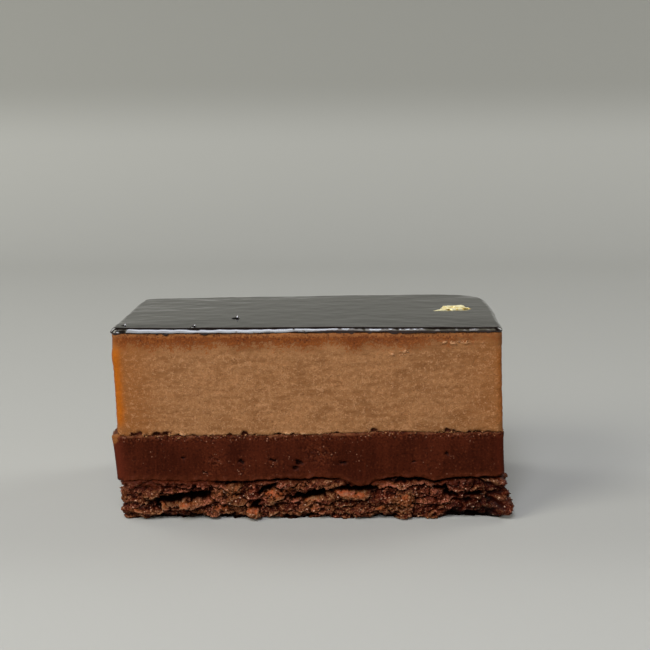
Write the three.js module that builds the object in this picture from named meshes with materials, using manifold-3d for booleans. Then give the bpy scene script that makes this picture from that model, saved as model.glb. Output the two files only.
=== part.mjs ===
// Chocolate and passion fruit layer pastry, cut as a block: a crumbly chocolate biscuit base, dark ganache,
// milk chocolate mousse, and a mirror glaze that carries one crumpled fleck of gold leaf.
// Millimetres, +Z up. The cut front faces -Y, and the origin is the middle of the underside.
import * as THREE from "three";
import { ParametricGeometry } from "three/addons/geometries/ParametricGeometry.js";
import { mergeVertices } from "three/addons/utils/BufferGeometryUtils.js";
import Module from "manifold-3d";

// Driving dimensions
const pastryLength = 76.8;
const pastryDepth = 46.5;
const biscuitTop = 8.2;
const ganacheTop = 17.4;
const mousseTop = 37.85;
const glazeTop = 38.85;
const glazeCrown = 0.04; // how much higher the glaze is in the middle than at its edges
const cornerRadius = 1.3;
const layerGap = 0.2; // left between the layers, so that their faceted faces stay apart
const reliefCore = 6; // relief pushes points to and from a core rectangle this far inside the outline
const capRings = [0.9, 0.55]; // rings on a layer's flat faces, as shares of the way out
const capFlatness = 3; // the power by which a face's uneven edge fades towards its flat middle

// Left and right faces of each layer at its bottom and its top, from the middle of the pastry
const biscuitSides = { left: [-38.4, -38.3], right: [38.5, 38.5] };
const ganacheSides = { left: [-38.7, -40.0], right: [38.3, 38.3] };
const mousseSides = { left: [-38.7, -39.05], right: [37.8, 37.3] };
const glazeSides = { left: [-39.3, -38.95], right: [37.2, 36.8] };

// The outline is walked anticlockwise from the middle of the front, so on the front the walked length is X.
const outline = roundedOutline(pastryLength / 2, pastryDepth / 2, cornerRadius);
const perimeter = outline.getLength();
const rightCorner = pastryLength / 2 + 0.8;
const backRight = (perimeter - pastryLength) / 2;
const backLeft = (perimeter + pastryLength) / 2;

function roundedOutline(halfLength, halfDepth, radius) {
  const path = new THREE.Path();
  const x = halfLength - radius;
  const y = halfDepth - radius;
  path.moveTo(0, -halfDepth);
  path.lineTo(x, -halfDepth);
  path.absarc(x, -y, radius, -Math.PI / 2, 0);
  path.lineTo(halfLength, y);
  path.absarc(x, y, radius, 0, Math.PI / 2);
  path.lineTo(-x, halfDepth);
  path.absarc(-x, y, radius, Math.PI / 2, Math.PI);
  path.lineTo(-halfLength, -y);
  path.absarc(-x, -y, radius, Math.PI, Math.PI * 1.5);
  path.lineTo(0, -halfDepth);
  return path;
}

const mix = THREE.MathUtils.lerp;
const fraction = (value) => value - Math.floor(value);
const bump = (offset, spread) => Math.exp(-((offset / spread) ** 2));
const apart = (walked, at) => walked - at - perimeter * Math.round((walked - at) / perimeter);

// Ripples are waves that close on themselves: each makes a whole number of turns round the pastry.
// drift is how far a wave leans, in radians for each millimetre of height.
function ripple(ripples, walked, z = 0) {
  const along = (2 * Math.PI * walked) / perimeter;
  return ripples.reduce(
    (sum, { height, turns, shift, drift = 0 }) => sum + height * Math.sin(turns * along + shift + drift * z),
    0,
  );
}

const biscuitTopRipples = [
  { height: 0.4, turns: 1, shift: 0 },
  { height: 0.2, turns: 9, shift: 2.9 },
];
const ganacheTopRipples = [
  { height: 0.4, turns: 1, shift: 0 },
  { height: 0.1, turns: 7, shift: 1 },
];
const glazeTopRipples = [
  { height: 0.05, turns: 5, shift: 1.2 },
  { height: 0.03, turns: 11, shift: 0.4 },
];
const biscuitSlantRipples = [{ height: 1, turns: 5, shift: 0 }];
const ganacheSideRipples = [
  { height: 0.15, turns: 6, shift: 0, drift: 0.3 },
  { height: 0.1, turns: 19, shift: 1, drift: 0.2 },
];
const mousseSideRipples = [
  { height: 0.12, turns: 5, shift: 0, drift: 0.2 },
  { height: 0.05, turns: 23, shift: 0, drift: 0.1 },
];
const glazeSideRipples = [
  { height: 0.06, turns: 13, shift: 0.5 },
  { height: 0.02, turns: 29, shift: 2 },
];

// Where the layers meet, at the outside: besides the ripples, the front has steps up and down.
const biscuitTopSteps = [
  { at: 3, height: 0.4, spread: 3.5 },
  { at: 9.8, height: -1.3, spread: 2.8 },
  { at: 24.8, height: -0.6, spread: 2 },
  { at: 34, height: 0.45, spread: 5 },
];
const ganacheTopSteps = [
  { at: -14, height: 0.2, spread: 6 },
  { at: 17, height: 0.5, spread: 7 },
];

function steps(list, walked) {
  return list.reduce((sum, { at, height, spread }) => sum + height * bump(apart(walked, at), spread), 0);
}

// The top sags towards the back corners. On the left it does so along the back, but hardly along the side.
const leftSag = { longDepth: 0.38, longSpread: 27, shortDepth: 0.72, shortSpread: 5 };
const rightSag = { depth: 0.2, spread: 5 };

function topSag(walked) {
  const { longDepth, longSpread, shortDepth, shortSpread } = leftSag;
  const offset = walked - backLeft;
  const long = longDepth * bump(offset, offset < 0 ? longSpread : shortSpread);
  const short = shortDepth * bump(offset, shortSpread);
  return long + short + rightSag.depth * bump(walked - backRight, rightSag.spread);
}

const unevenAt = (walked, ripples, list) => ripple(ripples, walked) + steps(list, walked);
const biscuitTopAt = (walked) => biscuitTop + unevenAt(walked, biscuitTopRipples, biscuitTopSteps);
const ganacheTopAt = (walked) => ganacheTop + unevenAt(walked, ganacheTopRipples, ganacheTopSteps);
const mousseTopAt = (walked) => mousseTop - topSag(walked);
const glazeTopAt = (walked) => glazeTop - topSag(walked) + ripple(glazeTopRipples, walked);

// Crags of the biscuit: crevices push in and lumps push out. These are the ones on the front.
const frontCrags = [
  { at: -26.7, z: 4.5, halfLength: 6.3, halfHeight: 0.7, tilt: 0.13, push: -3.2 },
  { at: -15.8, z: 7.2, halfLength: 3.6, halfHeight: 0.4, tilt: 0, push: -1.2 },
  { at: -8.9, z: 6.5, halfLength: 2.2, halfHeight: 0.6, tilt: 0.5, push: -2.2 },
  { at: -0.4, z: 5.0, halfLength: 4.8, halfHeight: 0.65, tilt: 0.12, push: -2.6 },
  { at: 9.1, z: 6.5, halfLength: 4.6, halfHeight: 0.6, tilt: 0.12, push: -2.3 },
  { at: 20.4, z: 7.9, halfLength: 6.0, halfHeight: 0.4, tilt: 0, push: -1.4 },
  { at: 32.3, z: 8.4, halfLength: 4.6, halfHeight: 0.4, tilt: 0.04, push: -1.4 },
  { at: 31.8, z: 3.9, halfLength: 4.8, halfHeight: 0.85, tilt: -0.05, push: -2.8 },
  { at: 32.6, z: 0.5, halfLength: 5.5, halfHeight: 0.9, tilt: 0, push: -2.0 },
  { at: -26.9, z: 0.4, halfLength: 8.0, halfHeight: 0.6, tilt: 0, push: -1.2 },
  { at: -27.7, z: 2.9, halfLength: 4.0, halfHeight: 0.9, tilt: 0, push: 0.7 },
  { at: -16.2, z: 3.6, halfLength: 3.6, halfHeight: 1.2, tilt: 0, push: 0.6 },
  { at: 6.5, z: 5.0, halfLength: 2.6, halfHeight: 0.8, tilt: 0, push: 0.6 },
  { at: 17.4, z: 4.6, halfLength: 6.0, halfHeight: 2.2, tilt: 0, push: 0.6 },
  { at: rightCorner, z: 2.8, halfLength: 2.2, halfHeight: 2.2, tilt: 0, push: 2.0 },
];

// The other sides are crumbled alike, spread evenly by low-discrepancy steps.
const hiddenCragCount = 34;
const stepAlong = 0.8191725;
const stepUp = 0.6710436;
const stepSize = 0.5497005;

function hiddenCrag(index) {
  const size = fraction(index * stepSize);
  const isLump = index % 3 === 2;
  return {
    at: mix(pastryLength / 2 + 3, perimeter - pastryLength / 2 - 3, fraction(index * stepAlong)),
    z: mix(0.4, biscuitTop, fraction(index * stepUp)),
    halfLength: mix(2.5, 6.5, size),
    halfHeight: isLump ? mix(0.8, 1.8, size) : mix(0.45, 0.85, size),
    tilt: mix(-0.2, 0.3, fraction(index * stepUp + size)),
    push: isLump ? mix(0.4, 0.8, size) : -mix(1.2, 3.0, size),
  };
}

const crags = frontCrags.concat(Array.from({ length: hiddenCragCount }, (_, index) => hiddenCrag(index)));

function cragPush(walked, z) {
  let push = 0;
  for (const crag of crags) {
    const along = apart(walked, crag.at);
    const up = z - crag.z - crag.tilt * along;
    push += crag.push * Math.exp(-((along / crag.halfLength) ** 4) - (up / crag.halfHeight) ** 2);
  }
  return Math.max(push, 1 - reliefCore);
}

// Relief of each layer, outwards, at a walked length and a height
const biscuitLumps = { height: 0.3, turns: 17, sway: 1.4, up: 0.9, slant: 2 };

function biscuitRelief(walked, z) {
  const { height, turns, sway, up, slant } = biscuitLumps;
  const along = ripple([{ height, turns, shift: sway * Math.sin(z) }], walked);
  const across = Math.sin(up * z + slant * ripple(biscuitSlantRipples, walked));
  return along * across + cragPush(walked, z);
}

const ganacheRelief = (walked, z) => ripple(ganacheSideRipples, walked, z);

// The upper layers swell a little on the right, mostly towards the back.
const swell = { depth: 1.25, spread: 20, at: (pastryLength + pastryDepth) / 2 + 8 };
const rightSwell = (walked) => swell.depth * bump(apart(walked, swell.at), swell.spread);

// The mousse has one bulge, on its front left corner.
const bulge = { depth: 0.3, spread: 2, at: perimeter - pastryLength / 2, z: 33 };

function mousseRelief(walked, z) {
  const cornerBulge = bulge.depth * bump(walked - bulge.at, bulge.spread) * bump(z - bulge.z, bulge.spread);
  return rightSwell(walked) + cornerBulge + ripple(mousseSideRipples, walked, z);
}

// The glaze has an uneven edge, and is rounded off at its back corners.
const leftRounding = { depth: 0.3, spread: 2.5 };
const rightRounding = { depth: 0.15, spread: 3.5 };

function glazeRelief(walked) {
  const left = leftRounding.depth * bump(walked - backLeft, leftRounding.spread);
  const right = rightRounding.depth * bump(walked - backRight, rightRounding.spread);
  return rightSwell(walked) + ripple(glazeSideRipples, walked) - left - right;
}

// The rows of a layer's surface, from the middle of its underside, round its side, to the middle of its top.
// reach is how far out a row lies, lift its share of the layer's height, and inset how far an edge rounds in.
function layerRows(sideRows) {
  const inwards = [...capRings, 0];
  const under = inwards.toReversed().map((reach) => ({ reach, lift: 0, inset: 0 }));
  const over = inwards.map((reach) => ({ reach, lift: 1, inset: 0 }));
  return [...under, ...sideRows, ...over];
}

// A side that is flat, with its lower and upper edges rounded in.
function flatSide(rowCount, edgeRound) {
  return Array.from({ length: rowCount + 1 }, (_, row) => {
    const isEdge = row === 0 || row === rowCount;
    return { reach: 1, lift: row / rowCount, inset: isEdge ? edgeRound : 0 };
  });
}

// A side that rounds over at its upper edge by a quarter circle.
function roundedSide(rowCount, edgeRound) {
  return Array.from({ length: rowCount + 1 }, (_, row) => {
    const turn = (row / rowCount) * (Math.PI / 2);
    return { reach: 1, lift: Math.sin(turn), inset: edgeRound * (1 - Math.cos(turn)) };
  });
}

// One layer as a closed surface of two parameters: round the outline, and along the rows.
function layerGeometry({ rows, columns, sides, bottomAt, topAt, middle, relief }) {
  const lastRow = rows.length - 1;
  const place = (u, v, target) => {
    const row = rows[Math.round(v * lastRow)];
    const walked = u * perimeter;
    const edge = outline.getPointAt(u % 1);
    const unevenness = row.reach ** capFlatness;
    const low = mix(middle[0], bottomAt(walked), unevenness);
    const high = mix(middle[1], topAt(walked), unevenness);
    const z = mix(low, high, row.lift);
    const left = mix(sides.left[0], sides.left[1], row.lift);
    const right = mix(sides.right[0], sides.right[1], row.lift);
    const stretched = mix(left, right, edge.x / pastryLength + 0.5);
    const point = new THREE.Vector2(edge.x, edge.y);
    const core = point
      .clone()
      .clamp(
        new THREE.Vector2(reliefCore - pastryLength / 2, reliefCore - pastryDepth / 2),
        new THREE.Vector2(pastryLength / 2 - reliefCore, pastryDepth / 2 - reliefCore),
      );
    const push = row.reach === 1 ? relief(walked, z) - row.inset : 0;
    const moved = point.clone().sub(core).normalize().multiplyScalar(push);
    target.set((stretched + moved.x) * row.reach, (edge.y + moved.y) * row.reach, z);
  };
  return new ParametricGeometry(place, columns, lastRow);
}

function foodMaterial(color, roughness) {
  return new THREE.MeshStandardMaterial({ color, roughness, metalness: 0 });
}

function namedMesh(name, geometry, material) {
  const mesh = new THREE.Mesh(geometry, material);
  mesh.name = name;
  return mesh;
}

// Gold leaf: a torn, crumpled fleck with pointed ends, which lies on the glaze near its right-hand end.
const leafLength = 8.6;
const leafDepth = 4.2;
const leafCentre = { x: 29.8, y: 0.5 };
const leafTurn = 0.35; // radians, which brings its left end forward
const leafCorners = 24;
const leafHeight = 0.85;
const leafEdge = 0.15; // how high the fleck's edge stands
const leafTear = 0.15; // how deep the tears in its outline go, as a share of its size
const leafFoot = glazeTop - 0.3; // the fleck's foot is sunk in the glaze
const leafRest = glazeTop + glazeCrown / 2; // the level of the glaze where the fleck lies
const leafRows = [
  { reach: 0, isTop: false },
  { reach: 1, isTop: false },
  { reach: 1, isTop: true },
  { reach: 0.7, isTop: true },
  { reach: 0.4, isTop: true },
  { reach: 0, isTop: true },
];

function leafGeometry() {
  const lastRow = leafRows.length - 1;
  const place = (u, v, target) => {
    const row = leafRows[Math.round(v * lastRow)];
    const turn = 2 * Math.PI * u;
    const tear = 1 - leafTear * (1 - Math.sin(7 * turn + 1) * Math.sin(3 * turn));
    const x = (leafLength / 2) * tear * row.reach * Math.cos(turn) * Math.abs(Math.cos(turn));
    const y = (leafDepth / 2) * tear * row.reach * Math.sin(turn);
    const crumple = Math.abs(Math.sin(1.7 * x + 0.6) * Math.cos(1.2 * y)) * (1 - row.reach ** 2);
    const z = row.isTop ? leafRest + mix(leafEdge, leafHeight, crumple) : leafFoot;
    const turned = new THREE.Vector2(x, y).rotateAround(new THREE.Vector2(), leafTurn);
    target.set(leafCentre.x + turned.x, leafCentre.y + turned.y, z);
  };
  return new ParametricGeometry(place, leafCorners, lastRow);
}

// A closed three.js geometry as a solid that can be joined to another, and back.
const wasm = await Module();
wasm.setup();

function toSolid(geometry) {
  const bare = geometry.clone();
  bare.deleteAttribute("normal");
  bare.deleteAttribute("uv");
  const merged = mergeVertices(bare, 1e-3);
  const vertProperties = new Float32Array(merged.attributes.position.array);
  const triVerts = new Uint32Array(merged.index.array);
  return new wasm.Manifold(new wasm.Mesh({ numProp: 3, vertProperties, triVerts }));
}

function toGeometry(solid) {
  const mesh = solid.getMesh();
  const geometry = new THREE.BufferGeometry();
  geometry.setAttribute("position", new THREE.BufferAttribute(mesh.vertProperties, 3));
  geometry.setIndex(new THREE.BufferAttribute(mesh.triVerts, 1));
  geometry.computeVertexNormals();
  return geometry;
}

const biscuit = layerGeometry({
  rows: layerRows(flatSide(13, 0.4)),
  columns: 180,
  sides: biscuitSides,
  bottomAt: () => 0,
  topAt: (walked) => biscuitTopAt(walked) - layerGap / 2,
  middle: [0, biscuitTop - layerGap / 2],
  relief: biscuitRelief,
});

const ganache = layerGeometry({
  rows: layerRows(flatSide(7, 0.25)),
  columns: 98,
  sides: ganacheSides,
  bottomAt: (walked) => biscuitTopAt(walked) + layerGap / 2,
  topAt: (walked) => ganacheTopAt(walked) - layerGap / 2,
  middle: [biscuitTop + layerGap / 2, ganacheTop - layerGap / 2],
  relief: ganacheRelief,
});

const mousse = layerGeometry({
  rows: layerRows(flatSide(8, 0.2)),
  columns: 98,
  sides: mousseSides,
  bottomAt: (walked) => ganacheTopAt(walked) + layerGap / 2,
  topAt: (walked) => mousseTopAt(walked) - layerGap / 2,
  middle: [ganacheTop + layerGap / 2, mousseTop - layerGap / 2],
  relief: mousseRelief,
});

const glazeSlab = layerGeometry({
  rows: layerRows(roundedSide(5, 0.9)),
  columns: 98,
  sides: glazeSides,
  bottomAt: (walked) => mousseTopAt(walked) + layerGap / 2,
  topAt: glazeTopAt,
  middle: [mousseTop + layerGap / 2, glazeTop + glazeCrown],
  relief: glazeRelief,
});

const glaze = toGeometry(toSolid(glazeSlab).add(toSolid(leafGeometry())));

const pastry = new THREE.Group();
pastry.add(
  namedMesh("biscuit", biscuit, foodMaterial(0x3c1d12, 0.85)),
  namedMesh("ganache", ganache, foodMaterial(0x3c1a10, 0.5)),
  namedMesh("mousse", mousse, foodMaterial(0x9a6a40, 0.75)),
  namedMesh("glaze", glaze, foodMaterial(0x17100c, 0.12)),
);

export default pastry;
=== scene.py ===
# Looks of a chocolate and passion fruit layer pastry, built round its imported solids
import math

import bpy
import numpy as np
from mathutils import Euler, Matrix, Vector


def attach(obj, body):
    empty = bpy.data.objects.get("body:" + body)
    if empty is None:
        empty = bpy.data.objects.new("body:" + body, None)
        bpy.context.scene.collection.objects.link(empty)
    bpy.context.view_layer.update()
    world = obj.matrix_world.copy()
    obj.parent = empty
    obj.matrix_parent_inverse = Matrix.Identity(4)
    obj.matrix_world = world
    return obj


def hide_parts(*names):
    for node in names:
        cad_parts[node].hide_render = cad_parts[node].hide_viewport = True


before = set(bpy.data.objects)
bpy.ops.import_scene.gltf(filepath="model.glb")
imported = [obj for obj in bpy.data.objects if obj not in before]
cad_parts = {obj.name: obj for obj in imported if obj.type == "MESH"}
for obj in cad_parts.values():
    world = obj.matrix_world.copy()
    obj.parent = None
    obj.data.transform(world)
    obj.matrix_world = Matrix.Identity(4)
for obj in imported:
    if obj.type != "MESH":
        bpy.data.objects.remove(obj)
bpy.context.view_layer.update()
mm = 0.001  # sizes below are millimetres, and meshes are made in metres

# The block that all layers share, walked anticlockwise from the middle of its front
block = {
    "length": 76.8,
    "depth": 46.5,
    "cornerRadius": 1.3,
    "reliefCore": 6.0,  # relief moves points to and from a core this far inside the outline
    "capFlatness": 3,  # power by which a face's uneven edge fades towards its flat middle
    "capReach": [0, 0.5, 0.86],  # rings on hidden faces, as shares of the way out
    "gap": 0.02,  # between the layers
}
levels = {"biscuit": 8.2, "ganache": 17.4, "mousse": 37.85, "glaze": 38.85, "crown": 0.04}

halfX = block["length"] / 2 - block["cornerRadius"]
halfY = block["depth"] / 2 - block["cornerRadius"]
quarterTurn = math.pi / 2 * block["cornerRadius"]
halfGap = block["gap"] / 2
sideWalk = [quarterTurn, 2 * halfY, quarterTurn]
walkStops = np.cumsum([0, halfX, *sideWalk, 2 * halfX, *sideWalk, halfX])
perimeter = walkStops[-1]
frontRight = block["length"] / 2
backRight = (perimeter - block["length"]) / 2
backLeft = (perimeter + block["length"]) / 2
frontLeft = perimeter - block["length"] / 2


# A point of the outline: the centre of that stretch's corner, plus the corner radius at the heading there
def outlineAt(walked):
    centreX = np.interp(walked, walkStops, np.array([0, 1, 1, 1, 1, -1, -1, -1, -1, 0]) * halfX)
    centreY = np.interp(walked, walkStops, np.array([-1, -1, -1, 1, 1, 1, 1, -1, -1, -1]) * halfY)
    heading = np.interp(walked, walkStops, np.radians([-90, -90, 0, 0, 90, 90, 180, 180, 270, 270]))
    radius = block["cornerRadius"]
    return centreX + radius * np.cos(heading), centreY + radius * np.sin(heading)


# The way out of the block at a point: away from the nearest point of the smaller core
def wayOut(x, y):
    coreX = block["length"] / 2 - block["reliefCore"]
    coreY = block["depth"] / 2 - block["reliefCore"]
    dx = x - np.clip(x, -coreX, coreX)
    dy = y - np.clip(y, -coreY, coreY)
    away = np.hypot(dx, dy)
    return dx / away, dy / away


# Distance along the walk from a place on it, the shorter way round
def fromPlace(walked, place):
    return walked - place - perimeter * np.round((walked - place) / perimeter)


# 1 at no offset, falling off as a bell curve
def bell(offset, spread):
    return np.exp(-((offset / spread) ** 2))


# A bell along the walk, 1 at a place on it
def near(walked, place, spread):
    return bell(fromPlace(walked, place), spread)


# 0 below low, 1 above high, and an S curve between them
def ease(value, low, high):
    share = np.clip((value - low) / (high - low), 0, 1)
    return share * share * (3 - 2 * share)


# A share of the way from low to high
def mix(low, high, share):
    return low + (high - low) * share


# Waves that close on themselves, as (height, turns, shift, lean): sines of whole turns round the block
def ripple(waves, walked, z=0):
    along = 2 * math.pi * walked / perimeter
    return sum(height * np.sin(turns * along + shift + lean * z) for height, turns, shift, lean in waves)


# The noise's lattice: turned off the block's own axes, with primes and shifts that shuffle a lattice
# point's numbers into one random number
lattice = {
    "turn": np.array(Euler((0.5, 0.7, 0.3)).to_matrix()),
    "primes": np.array([374761393, 668265263, 1440662683]),
    "seedPrime": 974634761,
    "shuffles": [(13, 1274126177), (15, 1103515245)],
    "lastShift": 16,
    "largest": 0x7FFFFFFF,
}


# A repeatable random number, 0 to 1, for each whole-number lattice point
def latticeRandom(cell, seed):
    largest = lattice["largest"]
    mixed = (cell @ lattice["primes"] + seed * lattice["seedPrime"]) & largest
    for shift, factor in lattice["shuffles"]:
        mixed = ((mixed ^ (mixed >> shift)) * factor) & largest
    return (mixed ^ (mixed >> lattice["lastShift"])) / largest


# Smooth noise, about -1 to 1: random values at lattice corners, blended by a quintic curve, in octaves
def softNoise(points, size, seed, octaves):
    total = np.zeros(points.shape[:-1])
    for octave in range(octaves):
        place = (points / size * 2**octave) @ lattice["turn"]
        cell = np.floor(place).astype(np.int64)
        part = place - cell
        curve = part**3 * (part * (part * 6 - 15) + 10)
        for corner in np.ndindex(2, 2, 2):
            share = np.prod(np.where(corner, curve, 1 - curve), axis=-1)
            total += share * (2 * latticeRandom(cell + corner, seed + octave) - 1) / 2**octave
    return total


# The same noise as a piece's dictionary gives it: height, size, seed and octaves
def noiseOf(points, noise):
    height, *rest = noise
    return height * softNoise(points, *rest)


# Noises side by side, one for each seed, that make a pattern's edges ragged
def driftOf(points, size, seeds):
    return np.stack([softNoise(points, size, seed, 3) for seed in seeds], axis=-1)


# Cell noise: distances to the nearest and next of one random point for each lattice cell, the nearest
# one's own random number, and the way from it in millimetres
def cellNoise(points, size, seed):
    place = (points / size) @ lattice["turn"]
    cell = np.floor(place).astype(np.int64)
    nearest = np.full(points.shape[:-1], np.inf)
    following = nearest.copy()
    tone = np.zeros(points.shape[:-1])
    way = np.zeros(points.shape)
    for step in np.ndindex(3, 3, 3):
        other = cell + np.array(step) - 1
        spot = other + np.stack([latticeRandom(other, seed + axis) for axis in range(3)], axis=-1)
        away = np.linalg.norm(spot - place, axis=-1)
        tone = np.where(away < nearest, latticeRandom(other, seed + 3), tone)
        way = np.where((away < nearest)[..., None], place - spot, way)
        following = np.minimum(following, np.maximum(away, nearest))
        nearest = np.minimum(nearest, away)
    return nearest, following, tone, way @ lattice["turn"].T * size


# A mesh object from points in millimetres, arrays of faces with three or four corners, and values by point
def makePiece(name, points, faces, values):
    sizes = np.concatenate([np.full(len(face), face.shape[1]) for face in faces])
    corners = np.concatenate([face.ravel() for face in faces])
    mesh = bpy.data.meshes.new(name)
    mesh.vertices.add(len(points))
    mesh.vertices.foreach_set("co", (points * mm).astype(np.float32).ravel())
    mesh.loops.add(len(corners))
    mesh.loops.foreach_set("vertex_index", corners.astype(np.int32))
    mesh.polygons.add(len(sizes))
    mesh.polygons.foreach_set("loop_start", (np.cumsum(sizes) - sizes).astype(np.int32))
    mesh.polygons.foreach_set("use_smooth", np.ones(len(sizes), bool))
    for label, value in values.items():
        layer = mesh.attributes.new(label, "FLOAT", "POINT")
        layer.data.foreach_set("value", value.astype(np.float32).ravel())
    mesh.update(calc_edges=True)
    mesh.validate()
    piece = bpy.data.objects.new(name, mesh)
    bpy.context.scene.collection.objects.link(piece)
    triangles = int((sizes - 2).sum())
    print(f"{name}: {len(points)} points, {triangles} triangles")
    return piece


# Faces of a closed skin of rings: quads between neighbouring rings, and a fan from each end's single point
def skinFaces(rings, columns):
    column = np.arange(columns)
    after = (column + 1) % columns
    first = 1 + columns * np.arange(rings - 1)[:, None]
    low, lowNext = first + column, first + after
    quads = np.stack([low, lowNext, lowNext + columns, low + columns], axis=-1)
    top = 1 + columns * (rings - 1)
    lowFan = np.stack([np.zeros(columns, int), 1 + after, 1 + column], axis=-1)
    highFan = np.stack([top + column, top + after, np.full(columns, top + columns)], axis=-1)
    return [lowFan, quads.reshape(-1, 4), highFan]


# Rows of points whose first and last rows are single points, as one list
def skinPoints(rows):
    return np.concatenate([rows[:1, 0], rows[1:-1].reshape(-1, *rows.shape[2:]), rows[-1:, 0]])


# A piece from a skin's rows of points, with its values at each
def skinPiece(name, rows, values):
    flat = {label: skinPoints(np.broadcast_to(value, rows.shape[:2])) for label, value in values.items()}
    return makePiece(name, skinPoints(rows), skinFaces(len(rows) - 2, rows.shape[1]), flat)


# A layer's x at a share of its height: its left and right ends there, and the share of the length between
def stretchedX(layer, lift, x):
    left, right = (mix(*layer[side], lift) for side in ("left", "right"))
    return mix(left, right, x / block["length"] + 0.5)


# A layer before its relief: rows of points from the middle of its underside, round its side, to the middle
# of its top. A row's reach is its share of the way out, and its lift its share of the height.
def layerRows(layer, lowAt, highAt, middle):
    walked = np.linspace(0, perimeter, layer["columns"], endpoint=False)[None, :]
    capReach = np.array(block["capReach"])
    sideLift = np.linspace(0, 1, layer["sideRows"])
    reach = np.concatenate([capReach, np.ones_like(sideLift), capReach[::-1]])[:, None]
    lift = np.concatenate([0 * capReach, sideLift, 0 * capReach + 1])[:, None]
    x, y = outlineAt(walked)
    unevenness = reach ** block["capFlatness"]
    low = mix(middle[0], lowAt(walked), unevenness)
    high = mix(middle[1], highAt(walked), unevenness)
    coordinates = (stretchedX(layer, lift, x) * reach, y * reach, mix(low, high, lift))
    points = np.stack(np.broadcast_arrays(*coordinates), axis=-1)
    toEdge = np.minimum(lift, 1 - lift) * (high - low)
    edge = layer["edgeRound"]
    rounded = edge - np.sqrt(edge**2 - (edge - np.clip(toEdge, 0, edge)) ** 2)
    isSide = reach == 1
    return walked, points, np.where(isSide, rounded, 0), isSide


# Side points moved out of the block by the push at each
def pushOut(walked, points, push):
    outX, outY = wayOut(*outlineAt(walked))
    return points + np.stack([outX * push, outY * push, 0 * push], axis=-1)


# A layer's skin: its rows, pushed out on the sides by its relief less the rounding. With it, the push,
# the relief's values and which points are on the sides.
def layerSkin(layer, reliefAt, lowAt, highAt, middle):
    walked, points, rounded, isSide = layerRows(layer, lowAt, highAt, middle)
    push, values = reliefAt(walked, points)
    push = np.where(isSide, push - rounded, 0)
    return pushOut(walked, points, push), push, values, isSide


# Where the layers meet at the outside: ripples (height, turns, shift, lean), steps (place, height, spread)
# and noise (height, size, seed, octaves)
seams = {
    "biscuit": [(0.4, 1, 0, 0), (0.2, 9, 2.9, 0)],
    "biscuitSteps": [(3, 0.4, 3.5), (9.8, -1.3, 2.8), (24.8, -0.6, 2), (34, 0.45, 5)],
    "biscuitNoise": (0.2, 2.4, 15, 3),
    "ganache": [(0.4, 1, 0, 0), (0.1, 7, 1, 0)],
    "ganacheSteps": [(-14, 0.2, 6), (17, 0.5, 7)],
    "ganacheNoise": (0.08, 1.7, 16, 3),
    "glaze": [(0.05, 5, 1.2, 0), (0.03, 11, 0.4, 0)],
    "leftSag": (0.75, 12, 1.3),  # depth at the back corner, x that it starts from, and power of the slope
    "rightSag": (0.1, 3),  # depth and spread
    "rightSwell": (1.25, 8, 20),  # how far, how far behind the middle of the end, and spread
}
cornerGlow = [(frontLeft + 0.7, 1.0), (frontRight, 0.55), (backRight, 0.6), (backLeft, 0.6)]  # painted glow through the corners: place and share


# Sum of bells along the walk
def steps(places, walked):
    return sum(height * near(walked, place, spread) for place, height, spread in places)


# Points on the ground, for noise that is the same at every height
def groundPoints(x, y):
    return np.stack(np.broadcast_arrays(x, y, 0.0), axis=-1)


# Fine noise along the walk, for edges that aren't quite straight
def ragged(walked, noise):
    return noiseOf(groundPoints(*outlineAt(walked)), noise)


# Level of the seam on top of a layer: ripples, steps and noise
def seamAt(layer, walked):
    uneven = ripple(seams[layer], walked) + steps(seams[layer + "Steps"], walked)
    return levels[layer] + uneven + ragged(walked, seams[layer + "Noise"])


def biscuitTopAt(walked):
    return seamAt("biscuit", walked)


def ganacheTopAt(walked):
    return seamAt("ganache", walked)


# A bell at each corner of the outline
def atCorners(walked, spread):
    return sum(near(walked, place, spread) for place in (frontLeft, frontRight, backRight, backLeft))


# Where light comes through the corners
def glowAt(walked, spread):
    return sum(share * near(walked, place, spread) for place, share in cornerGlow)


# Painted shade: from 0 at the middle of the front to 1 at its right-hand end and beyond, where less light
# falls
def sideShadeAt(walked):
    return ease(fromPlace(walked, 0), 0, frontRight)


# True on every side but the front
def isHidden(walked):
    return np.abs(fromPlace(walked, 0)) > frontRight


# How far the top sags at a point: towards the left-hand back corner it falls away in a slope, and the
# right-hand one is only rounded down
def sagAt(x, y):
    depth, start, power = seams["leftSag"]
    back = np.clip(y / block["depth"] + 0.5, 0, 1)
    leftwards = np.clip((start - x) / (start + block["length"] / 2), 0, 1)
    left = depth * leftwards**power * back**power
    depth, spread = seams["rightSag"]
    return left + depth * bell(np.hypot(x - block["length"] / 2, y - block["depth"] / 2), spread)


# Levels of the two upper layers along the outline, lowered by the sag there
def topSag(walked):
    return sagAt(*outlineAt(walked))


def mousseTopAt(walked):
    return levels["mousse"] - topSag(walked)


def glazeTopAt(walked):
    return levels["glaze"] - topSag(walked) + ripple(seams["glaze"], walked)


# The upper layers swell a little on the right, mostly towards the back
def rightSwell(walked):
    swell, behind, spread = seams["rightSwell"]
    return swell * near(walked, (block["length"] + block["depth"]) / 2 + behind, spread)


# A patch of a side, 1 in its middle: flat-topped along the side and a bell across it
def patchAt(along, up, halfLength, halfHeight):
    return np.exp(-((along / halfLength) ** 4) - (up / halfHeight) ** 2)


# Sum of spots given as (place, z, half length, half height, push), each a bell both ways
def spotSum(spots, along, up):
    total = 0
    for place, level, halfLength, halfHeight, push in spots:
        total = total + push * near(along, place, halfLength) * bell(up - level, halfHeight)
    return total
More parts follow.
